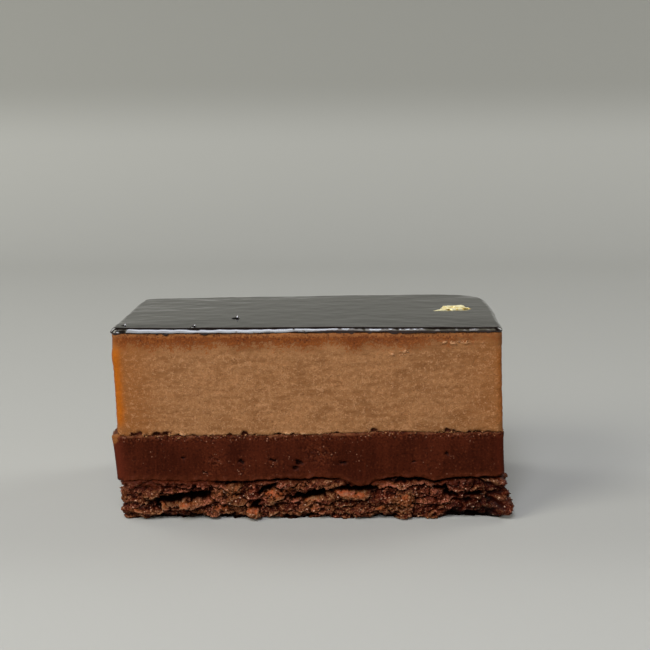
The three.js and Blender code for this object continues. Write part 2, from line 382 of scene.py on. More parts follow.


# Biscuit: its crags are (place, z, half length, half height, tilt, push), the front's listed one by one and
# the rest by a rule. Noises of all layers are (height, size, seed, octaves).
biscuit = {
    "columns": 1560,
    "sideRows": 58,
    "edgeRound": 0.5,
    "left": (-38.0, -37.9),
    "right": (38.3, 38.3),
    "lumps": (0.3, 17, 1.4, 0.9, 2, 5),  # height, turns, sway and rise of broad lumps, slant and its turns
    "drift": (1.8, (11, 12, 13)),  # size and seeds of the noise that makes the rest ragged
    "bend": {"flakes": 0.55, "grains": 0.2, "smear": 0.7},  # how far it does so
    "bendAlong": {"crags": 0.9, "patches": 0.8},
    "bendUp": {"crags": 0.5, "patches": 0.4},
    "strata": (1, (4.6, 4.6, 4.6 / 2.4), 21, 3),  # noise of the layers of crumb
    "pockets": (1.6, -0.3, -0.75),  # depth of the hollows between them, and where they start and are full
    "frontPockets": (0.4, 4),  # share of that depth on the front, and how far past it that changes
    # Broken bits of crumb, large and small: size, seed, how far they stand out, lean up and aside, edge
    "flakes": ((4.2, 4.2, 1.9), 22, 1.15, 0.5, 0.28, 0.6),
    "grains": ((0.9, 0.9, 0.7), 31, 0.34, 0.34, 0.34, 0.22),
    "bits": {"redraw": 57.3, "leastLean": 0.4, "edgeWidth": 0.3},
    "fine": (0.14, 0.45, 41, 2),
    "loose": (1, (9, 9, 30), 51, 1),  # noise of where it has come away from the layer above
    "looseRange": (-0.3, 0.4),
    "crack": (2.2, 0.15, 0.4),  # depth, how far under the seam, and spread
    "undercut": (0.7, 0.5),  # depth along the base, and spread
    "offset": 0.2,  # brings the average back to the outline
    "smearReach": (1.0, 0.3),  # how far the layer above is drawn down, and the share of it that is solid
    "smears": [(-31, 1.9, 7), (-14, 0.5, 5), (28, 0.6, 5), (70, 0.8, 9), (130, 1.2, 8), (185, 0.8, 7)],
    "calm": (0.6, 0.55, 2.5),  # how far smears and corners smooth the crumb, and the corners' spread
    "toneShares": (0.25, 0.25, 1.3),  # of flakes, grains and the front's patches
    "peak": (3, 3),  # columns and rows to each side that a point's height is compared with
    "ledge": (9, 8),
}
hiddenCrags = {
    "count": 34,
    "steps": (0.8191725, 0.6710436, 0.5497005),  # from each to the next, along, up and in size
    "lumpEvery": 3,
    "fromCorner": 3,
    "lowest": 0.4,
    "halfLength": (2.5, 6.5),  # ranges from small to large
    "tilt": (-0.2, 0.3),
    "lump": {"halfHeight": (0.8, 1.8), "push": (0.4, 0.8)},
    "crevice": {"halfHeight": (0.45, 0.85), "push": (-1.2, -3.0)},
}
frontCrags = [
    (-26.7, 4.5, 6.3, 0.7, 0.13, -3.4),
    (-31.6, 2.6, 0.7, 0.8, 0, -1.8),
    (-36, 1.2, 1.5, 0.4, 0, -1.5),
    (-15.8, 7.2, 3.6, 0.4, 0, -1.2),
    (-11.2, 2.9, 1.1, 0.8, 0, -2.2),
    (-8.9, 6.5, 2.2, 0.6, 0.5, -2.6),
    (-0.4, 5.0, 4.8, 0.65, 0.12, -3.0),
    (-15.5, 0.4, 3.0, 0.5, 0, -1.5),
    (-2, 0.5, 4.0, 0.5, 0, -1.4),
    (9.1, 6.2, 4.4, 0.7, 0, -2.8),
    (20.4, 7.9, 6.0, 0.45, 0, -2.0),
    (32.3, 8.4, 4.6, 0.4, 0.04, -1.6),
    (25.6, 6.2, 1.5, 0.45, -0.1, -2.0),
    (28.0, 4.9, 1.2, 0.7, -0.4, -2.4),
    (32.8, 4.9, 2.2, 0.5, 0, -2.4),
    (30.6, 3.4, 1.6, 0.5, 0, -1.6),
    (36.3, 4.4, 0.8, 1.0, 0, -2.2),
    (32.6, 0.6, 5.5, 1.0, 0, -2.6),
    (14.5, 0.6, 2.6, 0.6, 0, -2.0),
    (-26.9, 0.4, 8.0, 0.6, 0, -1.5),
    (-27.7, 2.9, 4.0, 0.9, 0, 0.8),
    (-16.2, 3.6, 3.6, 1.2, 0, 0.6),
    (6.5, 5.0, 2.6, 0.8, 0, 0.7),
    (17.4, 4.6, 6.0, 2.2, 0, 0.7),
    (frontRight + 0.8, 2.8, 2.2, 2.2, 0, 2.0),
]
frontCracks = [(-16, 3.5), (17.5, 3.4), (31.5, 7.2)]  # place and half length of gaps under the layer above
# Patches of the front's crumb as (place, z, half length, half height, tone), paler and redder above nought
frontTones = [
    (-30.2, 3.0, 1.0, 0.6, 0.5),
    (-25.5, 3.4, 2.4, 0.7, 0.3),
    (-22.6, 0.9, 1.5, 0.6, 0.5),
    (-14.4, 0.8, 0.9, 0.6, 0.5),
    (-35.9, 1.7, 1.0, 0.9, 0.4),
    (-18.7, 2.6, 1.6, 0.6, 0.35),
    (-16.2, 5.8, 2.0, 1.0, 0.2),
    (-8.3, 5.2, 1.8, 0.7, 0.4),
    (-5.4, 6.0, 1.0, 0.5, 0.55),
    (-12.5, 1.9, 1.2, 0.6, 0.4),
    (-6.8, 3.1, 2.0, 0.9, 0.2),
    (-0.3, 4.0, 1.6, 0.6, 0.45),
    (6.4, 5.6, 1.8, 0.6, 0.5),
    (9.5, 5.2, 1.2, 0.5, 0.45),
    (15.2, 6.9, 2.2, 0.6, 0.4),
    (18.6, 4.5, 4.0, 1.6, 0.22),
    (13.5, 2.2, 1.5, 0.6, 0.4),
    (26.2, 3.3, 1.3, 0.6, 0.4),
    (31.2, 6.2, 2.6, 0.5, 0.2),
    (33, 3.5, 8.0, 4.0, -0.2),
    (34, 2.6, 4.0, 2.0, -0.2),
    (-30, 7.4, 9.0, 1.2, -0.25),
    (30, 7.8, 6.0, 0.8, -0.15),
]


# Crags of the other sides, spread evenly by low-discrepancy steps: every third is a lump, others crevices
def hiddenCrag(index):
    along, up, size = (index * step % 1 for step in hiddenCrags["steps"])
    isLump = (index + 1) % hiddenCrags["lumpEvery"] == 0
    kind = hiddenCrags["lump" if isLump else "crevice"]
    place = mix(frontRight + hiddenCrags["fromCorner"], frontLeft - hiddenCrags["fromCorner"], along)
    z = mix(hiddenCrags["lowest"], levels["biscuit"], up)
    halfLength = mix(*hiddenCrags["halfLength"], size)
    tilt = mix(*hiddenCrags["tilt"], (up + size) % 1)
    return place, z, halfLength, mix(*kind["halfHeight"], size), tilt, mix(*kind["push"], size)


# Sum of the crags: each is its push times its patch, and none goes in as far as the core
def cragPush(walked, z):
    total = 0
    crags = frontCrags + [hiddenCrag(index) for index in range(hiddenCrags["count"])]
    for place, level, halfLength, halfHeight, tilt, push in crags:
        along = fromPlace(walked, place)
        total = total + push * patchAt(along, z - level - tilt * along, halfLength, halfHeight)
    return np.maximum(total, 1 - block["reliefCore"])


# Broken bits of crumb: a cell for each, which stands out by its number, leans so that its face looks up
# and to one side, and rounds off towards its neighbours
def brokenBits(points, bits):
    size, seed, spread, leanUp, leanAside, edge = bits
    shape = biscuit["bits"]
    nearest, following, tone, way = cellNoise(points, size, seed)
    chance = tone * shape["redraw"] % 1  # a second random number for each bit
    aside = leanAside * (2 * chance - 1) * (way[..., 0] + way[..., 1])
    upwards = leanUp * (shape["leastLean"] + chance) * way[..., 2]
    rounded = edge * (ease(following - nearest, 0, shape["edgeWidth"]) - 1)
    return spread * (tone - 0.5) + aside - upwards + rounded, tone


# Average over neighbouring columns, round the block, and rows
def smoothed(grid, across, up):
    wide = sum(np.roll(grid, shift, axis=1) for shift in range(-across, across + 1)) / (2 * across + 1)
    row = np.arange(len(grid))
    high = sum(wide[np.clip(row + shift, 0, len(grid) - 1)] for shift in range(-up, up + 1))
    return high / (2 * up + 1)


# Where the biscuit has come away from the layer above: patches of a noise, and the front's cracks
def looseness(points, along):
    loose = ease(noiseOf(points, biscuit["loose"]), *biscuit["looseRange"])
    for place, halfLength in frontCracks:
        loose = np.maximum(loose, patchAt(fromPlace(along, place), 0, halfLength, 1))
    return loose


# Relief of the biscuit: crags and broad lumps with ragged edges, hollows between layers of crumb, flakes
# and grains, a crack along the top where it has come away, and an undercut base
def biscuitRelief(walked, points):
    z = points[..., 2]
    drift = driftOf(points, *biscuit["drift"])
    bend, bendAlong, bendUp = (biscuit[name] for name in ("bend", "bendAlong", "bendUp"))
    crags = cragPush(walked + bendAlong["crags"] * drift[..., 0], z + bendUp["crags"] * drift[..., 2])
    height, turns, sway, rise, slant, slantTurns = biscuit["lumps"]
    lumps = ripple([(height, turns, 0, 0)], walked + sway * np.sin(z) * perimeter / (2 * math.pi * turns))
    lumps = lumps * np.sin(rise * z + slant * ripple([(1, slantTurns, 0, 0)], walked))
    bent = points + bend["flakes"] * drift
    depth, start, full = biscuit["pockets"]
    frontShare, fade = biscuit["frontPockets"]
    past = ease(np.abs(fromPlace(walked, 0)), frontRight, frontRight + fade)
    pockets = depth * ease(noiseOf(bent, biscuit["strata"]), start, full) * mix(frontShare, 1, past)
    flakes, flakeTone = brokenBits(bent, biscuit["flakes"])
    grains, grainTone = brokenBits(points + bend["grains"] * drift, biscuit["grains"])
    along, up = walked + bendAlong["patches"] * drift[..., 1], z + bendUp["patches"] * drift[..., 2]
    toTop = biscuitTopAt(walked) - z
    depth, under, spread = biscuit["crack"]
    crack = depth * bell(toTop - under, spread) * looseness(points, along)
    depth, spread = biscuit["undercut"]
    deep = crags - pockets - crack - depth * bell(z, spread)
    reach, solid = biscuit["smearReach"]
    reach = reach + steps(biscuit["smears"], walked)
    smear = ease(toTop + bend["smear"] * drift[..., 0], reach, solid * reach)
    smearCalm, cornerCalm, spread = biscuit["calm"]
    calm = (1 - smearCalm * smear) * (1 - cornerCalm * atCorners(walked, spread))
    push = deep + lumps + (flakes + grains + noiseOf(points, biscuit["fine"])) * calm + biscuit["offset"]
    flakeShare, grainShare, patchShare = biscuit["toneShares"]
    tone = flakeShare * flakeTone + grainShare * grainTone
    for place, level, halfLength, halfHeight, shift in frontTones:
        patch = patchAt(fromPlace(along, place), up - level, halfLength, halfHeight)
        tone = tone + patchShare * shift * patch
    return push, {"deep": deep, "tone": tone, "smear": smear}


# The biscuit's skin, with how far each point stands out from what is near it and from a wider stretch
def makeBiscuit():
    skin, push, values, isSide = layerSkin(
        biscuit,
        biscuitRelief,
        lambda w: 0 * w,
        lambda w: biscuitTopAt(w) - halfGap,
        (0, levels["biscuit"] - halfGap),
    )
    for label in ("peak", "ledge"):
        values[label] = push - smoothed(push, *biscuit[label])
    return skinPiece("biscuitLayer", skin, values), skin, values, isSide


lumpBall = {"turns": 7, "levels": 4, "roughness": 0.28, "stretch": (0.7, 1.3)}


# Lumps of many sizes as one mesh: each is a small rough ball, squashed and turned at random, on its place
def scatterLumps(name, places, radii, squash, rng, values):
    turns, levelsUp = lumpBall["turns"], lumpBall["levels"]
    angle = 2 * math.pi * np.arange(turns) / turns
    up = np.cos(math.pi * np.arange(1, levelsUp + 1) / (levelsUp + 1))[::-1, None]
    across = np.sqrt(1 - up**2)
    rows = np.stack(np.broadcast_arrays(across * np.cos(angle), across * np.sin(angle), up), axis=-1)
    ball = np.concatenate([[[0, 0, -1]], rows.reshape(-1, 3), [[0, 0, 1]]])
    count = len(places)
    rough = 1 + lumpBall["roughness"] * rng.standard_normal((count, len(ball), 1))
    stretch = rng.uniform(*lumpBall["stretch"], (count, 1, 3)) * np.array([1, 1, squash])
    spin = rng.uniform(0, 2 * math.pi, (count, 1))
    lump = ball * rough * stretch
    turned = np.stack(
        [
            lump[..., 0] * np.cos(spin) - lump[..., 1] * np.sin(spin),
            lump[..., 0] * np.sin(spin) + lump[..., 1] * np.cos(spin),
            lump[..., 2],
        ],
        axis=-1,
    )
    points = places[:, None] + turned * radii[:, None, None]
    faces = [
        (face[None] + len(ball) * np.arange(count)[:, None, None]).reshape(-1, face.shape[1])
        for face in skinFaces(levelsUp, turns)
    ]
    flat = {label: np.repeat(value, len(ball)) for label, value in values.items()}
    return makePiece(name, points.reshape(-1, 3), faces, flat)


crumbs = {
    "count": 2600,
    "draws": 4,  # places tried for each
    "radius": (0.09, 0.55),
    "rarity": 4,  # power that makes large ones few
    "squash": 0.65,
    "sink": 0.3,  # into the side, as a share of the radius
    "clear": 1.3,  # of the ground, in radii
    "deepest": -0.7,  # relief that they still lie on
    "rowsFree": (2, 3),  # at the foot and at the top
    "peak": (-0.1, 0.3),
    "seed": 3,
}


# Crumbs: places drawn from the biscuit's side where it isn't deep in a crevice, sunk a little into it
def makeCrumbs(skin, skinValues, isSide):
    rng = np.random.default_rng(crumbs["seed"])
    foot, top = crumbs["rowsFree"]
    rows = np.flatnonzero(isSide[:, 0])[foot:-top]
    row = rng.choice(rows, crumbs["draws"] * crumbs["count"])
    column = rng.integers(0, skin.shape[1], len(row))
    isOut = skinValues["deep"][row, column] > crumbs["deepest"]
    row, column = row[isOut][: crumbs["count"]], column[isOut][: crumbs["count"]]
    radii = mix(*crumbs["radius"], rng.random(len(row)) ** crumbs["rarity"])
    places = skin[row, column].copy()
    outX, outY = wayOut(places[:, 0], places[:, 1])
    places[:, 0] -= outX * radii * crumbs["sink"]
    places[:, 1] -= outY * radii * crumbs["sink"]
    places[:, 2] = np.maximum(places[:, 2], crumbs["clear"] * radii)
    values = {label: value[row, column] for label, value in skinValues.items()}
    values["peak"] = rng.uniform(*crumbs["peak"], len(row))
    return scatterLumps("crumbs", places, radii, crumbs["squash"], rng, values)


# Ganache: a smooth cut face with small pits, as (place, z, radius, depth) on the front and by cells
# elsewhere. Ranges are from where a thing starts to where it is full.
ganache = {
    "columns": 1160,
    "sideRows": 58,
    "edgeRound": 0.12,
    "left": (-38.7, -40.0),
    "right": (38.3, 38.3),
    "ripples": [(0.15, 6, 0, 0.3), (0.1, 19, 1, 0.2)],
    "knifeMarks": (0.035, (0.9, 0.9, 14), 61, 2),
    "drift": (0.7, (72, 73)),  # size and seeds of the noise that makes the pits ragged
    "bend": (0.35, 0.3),  # how far it does so, along and up
    "pitCells": (4.2, 71),  # spacing and seed
    "pitRadius": (0.12, 0.36),
    "pitFlatness": 1.8,
    "pitLeast": 0.45,  # cells with a lower number have none
    "pitDepth": 0.5,
    "frontPit": (1.3, 0.6, 1.3),  # half length and half height for a radius of one, and share of the depth
    "patchNoise": (1, 4.0, 74, 2),  # rough patches of the other sides
    "patchRange": (0.25, 0.7),
    "roughEdge": (2.0, 0.3),  # below the seam
    "grain": (0.16, 0.55, 81, 2),  # where it is rough
    "torn": (0.3, 1.1, 91, 3),
    "tornEdge": (1.2, 0),  # above the seam
    "foot": (0.5, 2, 1.0),  # depth, spread and height of the rounding at the foot of the corners
    "nearTop": (2.4, 0.2),
    "nearBottom": (1.6, 0.1),
    "cornerSpread": 1.6,
    "sideShadeLeft": (1.3, 3),  # share and spread of the same darkening at the front left corner
    "drape": (1.7, 3.0, 0.3),  # spread there, and its range below the seam
}
frontPits = [
    (-24.6, 12.8, 0.35, 0.5),
    (-13.4, 11.9, 0.5, 0.6),
    (-2.1, 11.8, 0.5, 0.7),
    (-2.9, 10.6, 0.4, 0.6),
    (-7.1, 12.3, 0.35, 0.5),
    (6.6, 11.7, 0.4, 0.5),
    (20.5, 11.8, 0.35, 0.4),
    (27.0, 13.4, 0.3, 0.4),
    (-20.5, 9.6, 0.3, 0.4),
]
# Rough patches of its front as (place, z, half length, half height, share)
frontRough = [
    (-18.4, 12, 1.6, 1.9, 1),
    (-7, 11.6, 1.2, 1.0, 1),
    (-20.4, 9.4, 1.2, 0.7, 1),
    (2, 13.4, 2.5, 2.4, 1),
    (-13, 10, 1, 1, 1),
]


# Pits of the ganache: a flattened bell in some of the cells on the other sides, and the front's own
def ganachePits(walked, points):
    bendAlong, bendUp = ganache["bend"]
    drift = driftOf(points, *ganache["drift"])
    _, _, tone, way = cellNoise(points + bendAlong * drift[..., [0, 0, 1]], *ganache["pitCells"])
    away = np.hypot(way[..., 0] + way[..., 1], ganache["pitFlatness"] * way[..., 2])
    isPit = (tone > ganache["pitLeast"]) * isHidden(walked)
    hidden = ganache["pitDepth"] * bell(away, mix(*ganache["pitRadius"], tone)) * isPit
    long, high, deep = ganache["frontPit"]
    front = [(place, z, long * size, high * size, deep * depth) for place, z, size, depth in frontPits]
    along, up = walked + bendAlong * drift[..., 0], points[..., 2] + bendUp * drift[..., 1]
    return hidden + spotSum(front, along, up)


# Stains of the ganache near its seams and where mousse hangs over a corner, and painted light: a glow at
# its corners and shade towards its right-hand end
def ganacheStainsAndLight(walked, toTop, toBottom):
    sideShadeShare, sideShadeSpread = ganache["sideShadeLeft"]
    drapeSpread, start, full = ganache["drape"]
    return {
        "nearTop": ease(toTop, *ganache["nearTop"]),
        "nearBottom": ease(toBottom, *ganache["nearBottom"]),
        "corner": glowAt(walked, ganache["cornerSpread"]),
        "dim": sideShadeAt(walked) + sideShadeShare * near(walked, frontLeft, sideShadeSpread),
        "drape": near(walked, frontLeft, drapeSpread) * ease(toTop, start, full),
    }


# Relief of the ganache: ripples, upright knife marks, pits, rough patches, a grainy edge under the mousse
# and a torn one below. With it, the pits' painted shade, how far each place is roughened, and the stains.
def ganacheRelief(walked, points):
    z = points[..., 2]
    toTop = ganacheTopAt(walked) - z
    toBottom = z - biscuitTopAt(walked)
    pits = ganachePits(walked, points)
    rough = isHidden(walked) * ease(noiseOf(points, ganache["patchNoise"]), *ganache["patchRange"])
    rough = np.maximum(rough + spotSum(frontRough, walked, z), ease(toTop, *ganache["roughEdge"]))
    grain = noiseOf(points, ganache["grain"]) * rough
    torn = noiseOf(points, ganache["torn"]) * ease(toBottom, *ganache["tornEdge"])
    depth, spread, height = ganache["foot"]
    foot = depth * atCorners(walked, spread) * ease(toBottom, height, 0) ** 2
    knife = noiseOf(points, ganache["knifeMarks"])
    push = ripple(ganache["ripples"], walked, z) + knife - pits + grain + torn - foot
    values = {"pit": np.clip(2 * pits, 0, 1), "rough": rough}
    return push, values | ganacheStainsAndLight(walked, toTop, toBottom)


def makeGanache():
    skin, _, values, _ = layerSkin(
        ganache,
        ganacheRelief,
        lambda w: biscuitTopAt(w) + halfGap,
        lambda w: ganacheTopAt(w) - halfGap,
        (levels["biscuit"] + halfGap, levels["ganache"] - halfGap),
    )
    return skinPiece("ganacheLayer", skin, values)


# Mousse: tears of its front, at the lower edge and high up on the right, as (place, z, half length, half
# height, push), with painted shade where they go in and a painted highlight where a flap stands out
mousse = {
    "columns": 1160,
    "sideRows": 78,
    "edgeRound": 0.12,
    "left": (-38.7, -39.05),
    "right": (37.8, 37.3),
    "ripples": [(0.12, 5, 0, 0.2), (0.05, 23, 0, 0.1)],
    "bulge": (0.3, 2, 33),  # depth, spread and z of the swelling on the front left corner
    "drag": (0.05, (9, 9, 0.9), 111, 3),
    "pores": (0.035, 0.6, 121, 2),
    "seamNoise": (1, 1.4, 141, 3),
    "seamGap": (0.6, 0.15),  # height of the gaps under it, and the noise that they start from
    "drift": (1.1, (102, 103)),  # size and seeds of the noise that makes the tears ragged
    "bend": (0.7, 0.22),  # how far it does so, along and up
    "tornNoise": (1, 0.8, 104, 2),  # breaks the tears up
    "tornRange": (-0.7, 0.1),
    "tearCells": (5.0, 500, 101),  # spacing, height and seed of cells with the other sides' tears
    "tearPush": (0.3, 0.4, -1.2),  # cells with a lower number stand out, and how far; how far others go in
    "tearSize": (0.9, 0.25, 0.35),  # half length, lift above the seam and half height
    "bandDepth": 2.9,  # of the darker band under the glaze
    "bandRight": (1.4, 26, 35, 60, 40),  # how much less on the right, and where that starts and ends
    "bandNoise": (0.7, (3.5, 3.5, 17.5), 131, 3),
    "bandFade": (1.6, 2.0),  # below and above its edge
    "bandLeft": (0.5, 1.6),  # how far the front left corner fades it, and spread
    "glowFoot": (17.5, 21),  # levels where the corners' glow starts and is full, from below and from above
    "glowTop": (36.5, 33.5),
    "glowSpread": 1.3,
    "wideGlowSpread": 7,
    "crest": (1.5, 0.4),  # below the glaze
}
frontTears = [
    (-35.2, 17.5, 0.8, 0.4, -1.2),
    (-33.6, 17.5, 0.5, 0.4, -1.0),
    (-30.6, 17.5, 0.9, 0.4, -1.4),
    (-28.4, 17.7, 0.7, 0.35, -1.0),
    (-12.8, 17.6, 1.1, 0.35, -1.2),
    (12.4, 18.3, 1.2, 0.3, -1.0),
    (27.4, 18.2, 0.6, 0.3, -1.1),
    (29.0, 18.1, 0.5, 0.25, -0.9),
    (31.2, 17.9, 0.9, 0.2, -0.9),
    (33.4, 17.8, 0.5, 0.25, -0.9),
    (35.4, 17.8, 1.0, 0.2, -0.9),
    (-24.8, 17.5, 0.9, 0.35, 0.5),
    (-20.1, 17.5, 1.2, 0.3, 0.3),
    (-4.3, 17.7, 0.9, 0.4, 0.4),
    (-1.6, 17.6, 1.4, 0.4, 0.45),
    (1.7, 17.5, 0.7, 0.3, 0.35),
    (28.0, 35.75, 1.5, 0.22, 0.5),
    (31.6, 35.8, 1.1, 0.2, 0.45),
    (34.4, 35.9, 0.7, 0.18, 0.4),
    (30.2, 36.15, 3.6, 0.16, -0.3),
    (18.6, 34.2, 0.9, 0.25, 0.4),
    (16.8, 33.5, 0.7, 0.2, 0.4),
]


# Tears of the mousse, broken up by noise: the front's, and along the lower edge of the other sides one for
# each cell, in or out by its number
def mousseTears(walked, points):
    bendAlong, bendUp = mousse["bend"]
    drift = driftOf(points, *mousse["drift"])
    z = points[..., 2] + bendUp * drift[..., 1]
    front = spotSum(frontTears, walked + bendAlong * drift[..., 0], z)
    spacing, height, seed = mousse["tearCells"]
    nearest, _, tone, _ = cellNoise(points, (spacing, spacing, height), seed)
    least, out, into = mousse["tearPush"]
    halfLength, lift, halfHeight = mousse["tearSize"]
    hidden = np.where(tone > least, into, out) * bell(nearest * spacing, halfLength)
    hidden = hidden * bell(z - ganacheTopAt(walked) - lift, halfHeight) * isHidden(walked)
    return (front + hidden) * ease(noiseOf(points, mousse["tornNoise"]), *mousse["tornRange"])


# Lower edge of the darker band: a level that wanders, higher past the front's right-hand end
def bandEdge(walked, points):
    less, start, full, end, fade = mousse["bandRight"]
    right = ease(fromPlace(walked, 0), start, full) * ease(fromPlace(walked, 0), end, fade)
    return mousseTopAt(walked) - mousse["bandDepth"] + less * right + noiseOf(points, mousse["bandNoise"])


# Stains of the mousse: its band and its strip against the glaze; and painted light: a glow at its corners
# and shade towards its right-hand end
def mousseStainsAndLight(walked, points):
    z = points[..., 2]
    below, above = mousse["bandFade"]
    share, spread = mousse["bandLeft"]
    band = np.clip((z - bandEdge(walked, points) + below) / (below + above), 0, 1)
    upright = ease(z, *mousse["glowFoot"]) * ease(z, *mousse["glowTop"])
    return {
        "band": band * (1 - share * near(walked, frontLeft, spread)),
        "glow": upright * glowAt(walked, mousse["glowSpread"]),
        "warm": glowAt(walked, mousse["wideGlowSpread"]),
        "dim": sideShadeAt(walked),
        "crest": ease(mousseTopAt(walked) - z, *mousse["crest"]),
    }


# Relief of the mousse: the swells and ripples, marks dragged along it by the knife, pores, and tears.
# With it, the stains and painted light, and the tears alone.
def mousseRelief(walked, points):
    z = points[..., 2]
    depth, spread, level = mousse["bulge"]
    swell = rightSwell(walked) + depth * near(walked, frontLeft, spread) * bell(z - level, spread)
    marks = noiseOf(points, mousse["drag"]) + noiseOf(points, mousse["pores"])
    tears = mousseTears(walked, points)
    push = swell + ripple(mousse["ripples"], walked, z) + marks + tears
    return push, mousseStainsAndLight(walked, points) | {"tear": tears}


# The mousse's skin, with a lower edge that gapes here and there
def makeMousse():
    def lowAt(walked):
        height, start = mousse["seamGap"]
        torn = np.maximum(0, ragged(walked, mousse["seamNoise"]) - start)
        return ganacheTopAt(walked) + halfGap + height * torn

    skin, _, values, isSide = layerSkin(
        mousse,
        mousseRelief,
        lowAt,
        lambda w: mousseTopAt(w) - halfGap,
        (levels["ganache"] + halfGap, levels["mousse"] - halfGap),
    )
    values["tear"] = np.where(isSide, values["tear"], 0)
    return skinPiece("mousseLayer", skin, values)


flecks = {
    "count": 300,
    "radius": (0.06, 0.24),
    "rarity": 3,  # power that makes large and low ones few
    "squash": 0.6,
    "rise": 0.1,  # highest and lowest, from the seam
    "drop": 1.0,
    "pale": [(29, 1.6, 35.9, 0.15), (18.3, 1.2, 33.8, 0.5)],  # pale patches: x, half length, z, half height
    "paleCount": 22,
    "paleOut": 0.04,  # how far they stand out
    # painted highlight on the patches' flecks
    "paleness": 0.8,
    "seed": 5,
}


# Flecks of mousse that the knife has left along the top of the ganache, thinning out downwards, and
# patches of them on the mousse, pale with a painted highlight
def makeFlecks():
    rng = np.random.default_rng(flecks["seed"])
    walked = rng.uniform(0, perimeter, flecks["count"])
    low, high = biscuitTopAt(walked), ganacheTopAt(walked)
    z = high + flecks["rise"] - flecks["drop"] * rng.random(flecks["count"]) ** flecks["rarity"]
    x, y = outlineAt(walked)
    push = ripple(ganache["ripples"], walked, z)
    outX, outY = wayOut(x, y)
    stretched = stretchedX(ganache, (z - low) / (high - low), x)
    places = [np.stack([stretched + outX * push, y + outY * push, z], axis=-1)]
    for x, halfLength, z, halfHeight in flecks["pale"]:
        along = x + halfLength * rng.uniform(-1, 1, flecks["paleCount"])
        up = z + halfHeight * rng.uniform(-1, 1, flecks["paleCount"])
        out = rightSwell(along) + ripple(mousse["ripples"], along, up) + flecks["paleOut"]
        places.append(np.stack([along, -block["depth"] / 2 - out, up], axis=-1))
    places = np.concatenate(places)
    radii = mix(*flecks["radius"], rng.random(len(places)) ** flecks["rarity"])
    values = {label: np.zeros(len(places)) for label in ("band", "glow", "warm", "dim")}
    values["tear"] = np.where(np.arange(len(places)) < flecks["count"], 0, flecks["paleness"])
    return scatterLumps("mousseFlecks", places, radii, flecks["squash"], rng, values)


# Glaze: a bead round the edge that hangs a little over the mousse, and a nearly flat top
glaze = {
    "columns": 1000,
    "left": (-39.3, -38.95),
    "right": (37.2, 36.8),
    "ripples": [(0.06, 13, 0.5, 0), (0.02, 29, 2, 0)],
    "rounding": [(backLeft, 0.3, 2.5), (backRight, 1.2, 3.0)],  # place, depth and spread
    "bead": (0.64, 0.34),  # height of the bead's round, and how much more on the front's left
    "leftStretch": (6, 46, 22),  # that stretch: its middle from the corner, where it starts and is full
    "beadRounds": {58: 1.55, 75: 1.55, 79: 0.15, 100: 0.15},  # radius for each lean in degrees
    "beadTop": (1.05, 0.65),  # and from flat to flatLean, on the right and on the left
    "flatLean": 54,
    "beadRows": 28,
    "proud": 0.22,  # how far the bead stands out from the mousse
    "proudNoise": (1, 1.2, 152, 3),
    "uneven": (1, 3.0, 151, 3),
    "unevenness": (0.1, 0.3, 12, 40),  # how far, share of that at the front left corner, and the fade there
    "unevenHeight": 1.5,  # shares of that in the bead's height and stand
    "unevenProud": 0.3,
    "beadDepth": (0.25, 2.2, 155, 2),
    "nick": (-36.6, 0.8, 0.12, 0.2),  # place, half length, depth and height of a dent in the bead
    "drips": [  # place, drop and half length
        (-37.2, 0.25, 0.8),
        (-29.2, 0.4, 0.3),
        (-27.5, 0.45, 0.7),
        (-20, 0.45, 0.6),
        (9, 0.3, 0.4),
        (17, 0.3, 0.5),
    ],
    "hang": (0.2, 0.15),  # of the lip all round: depth, and share of it that is even
    "hangNoise": (1, 1.0, 161, 3),
    "underLip": [0.35, 0.02],  # insets of its rows under the bead
    "lip": [(0.15, 0.8), (0.4, 1.0), (0.65, 0.7)],  # shares of the stand and of the hang
    "topReach": [(1, 0.84, 22), (0.84, 0.45, 20), (0.45, 0, 9)],  # runs of rings: from, to and how many
    "topLevel": (0.03, 6.0, 171, 2),
    "topWaves": (0.012, (14, 5, 1), 181, 3),
    "wavePower": 20,  # keeps the waves off the bead
    "sagPower": 24,  # brings the rim's sag in over the top
}


# Outline of the glaze at a share of its height, before its bead
def glazeEdge(walked, lift):
    x, y = outlineAt(walked)
    outX, outY = wayOut(x, y)
    push = rightSwell(walked) + ripple(glaze["ripples"], walked)
    push = push - sum(depth * bell(walked - place, spread) for place, depth, spread in glaze["rounding"])
    return stretchedX(glaze, lift, x) + outX * push, y + outY * push, outX, outY


# The bead's profile from its foot up, as heights and insets for a height of one: the sum of short steps
# along a face that leans back from just over upright to flat, each the radius there times the turn
def beadProfile(topRadius):
    rounds = {0: topRadius, glaze["flatLean"]: topRadius, **glaze["beadRounds"]}
    lean = np.linspace(max(rounds), 0, glaze["beadRows"])
    middle = np.radians((lean[1:] + lean[:-1]) / 2)
    length = np.interp(np.degrees(middle), list(rounds), list(rounds.values()))
    up = np.concatenate([[0], np.cumsum(length * np.sin(middle))])
    inward = np.concatenate([[0], np.cumsum(length * np.cos(middle))])
    return np.stack([up, inward], axis=-1)[:, :, None] / up[-1]


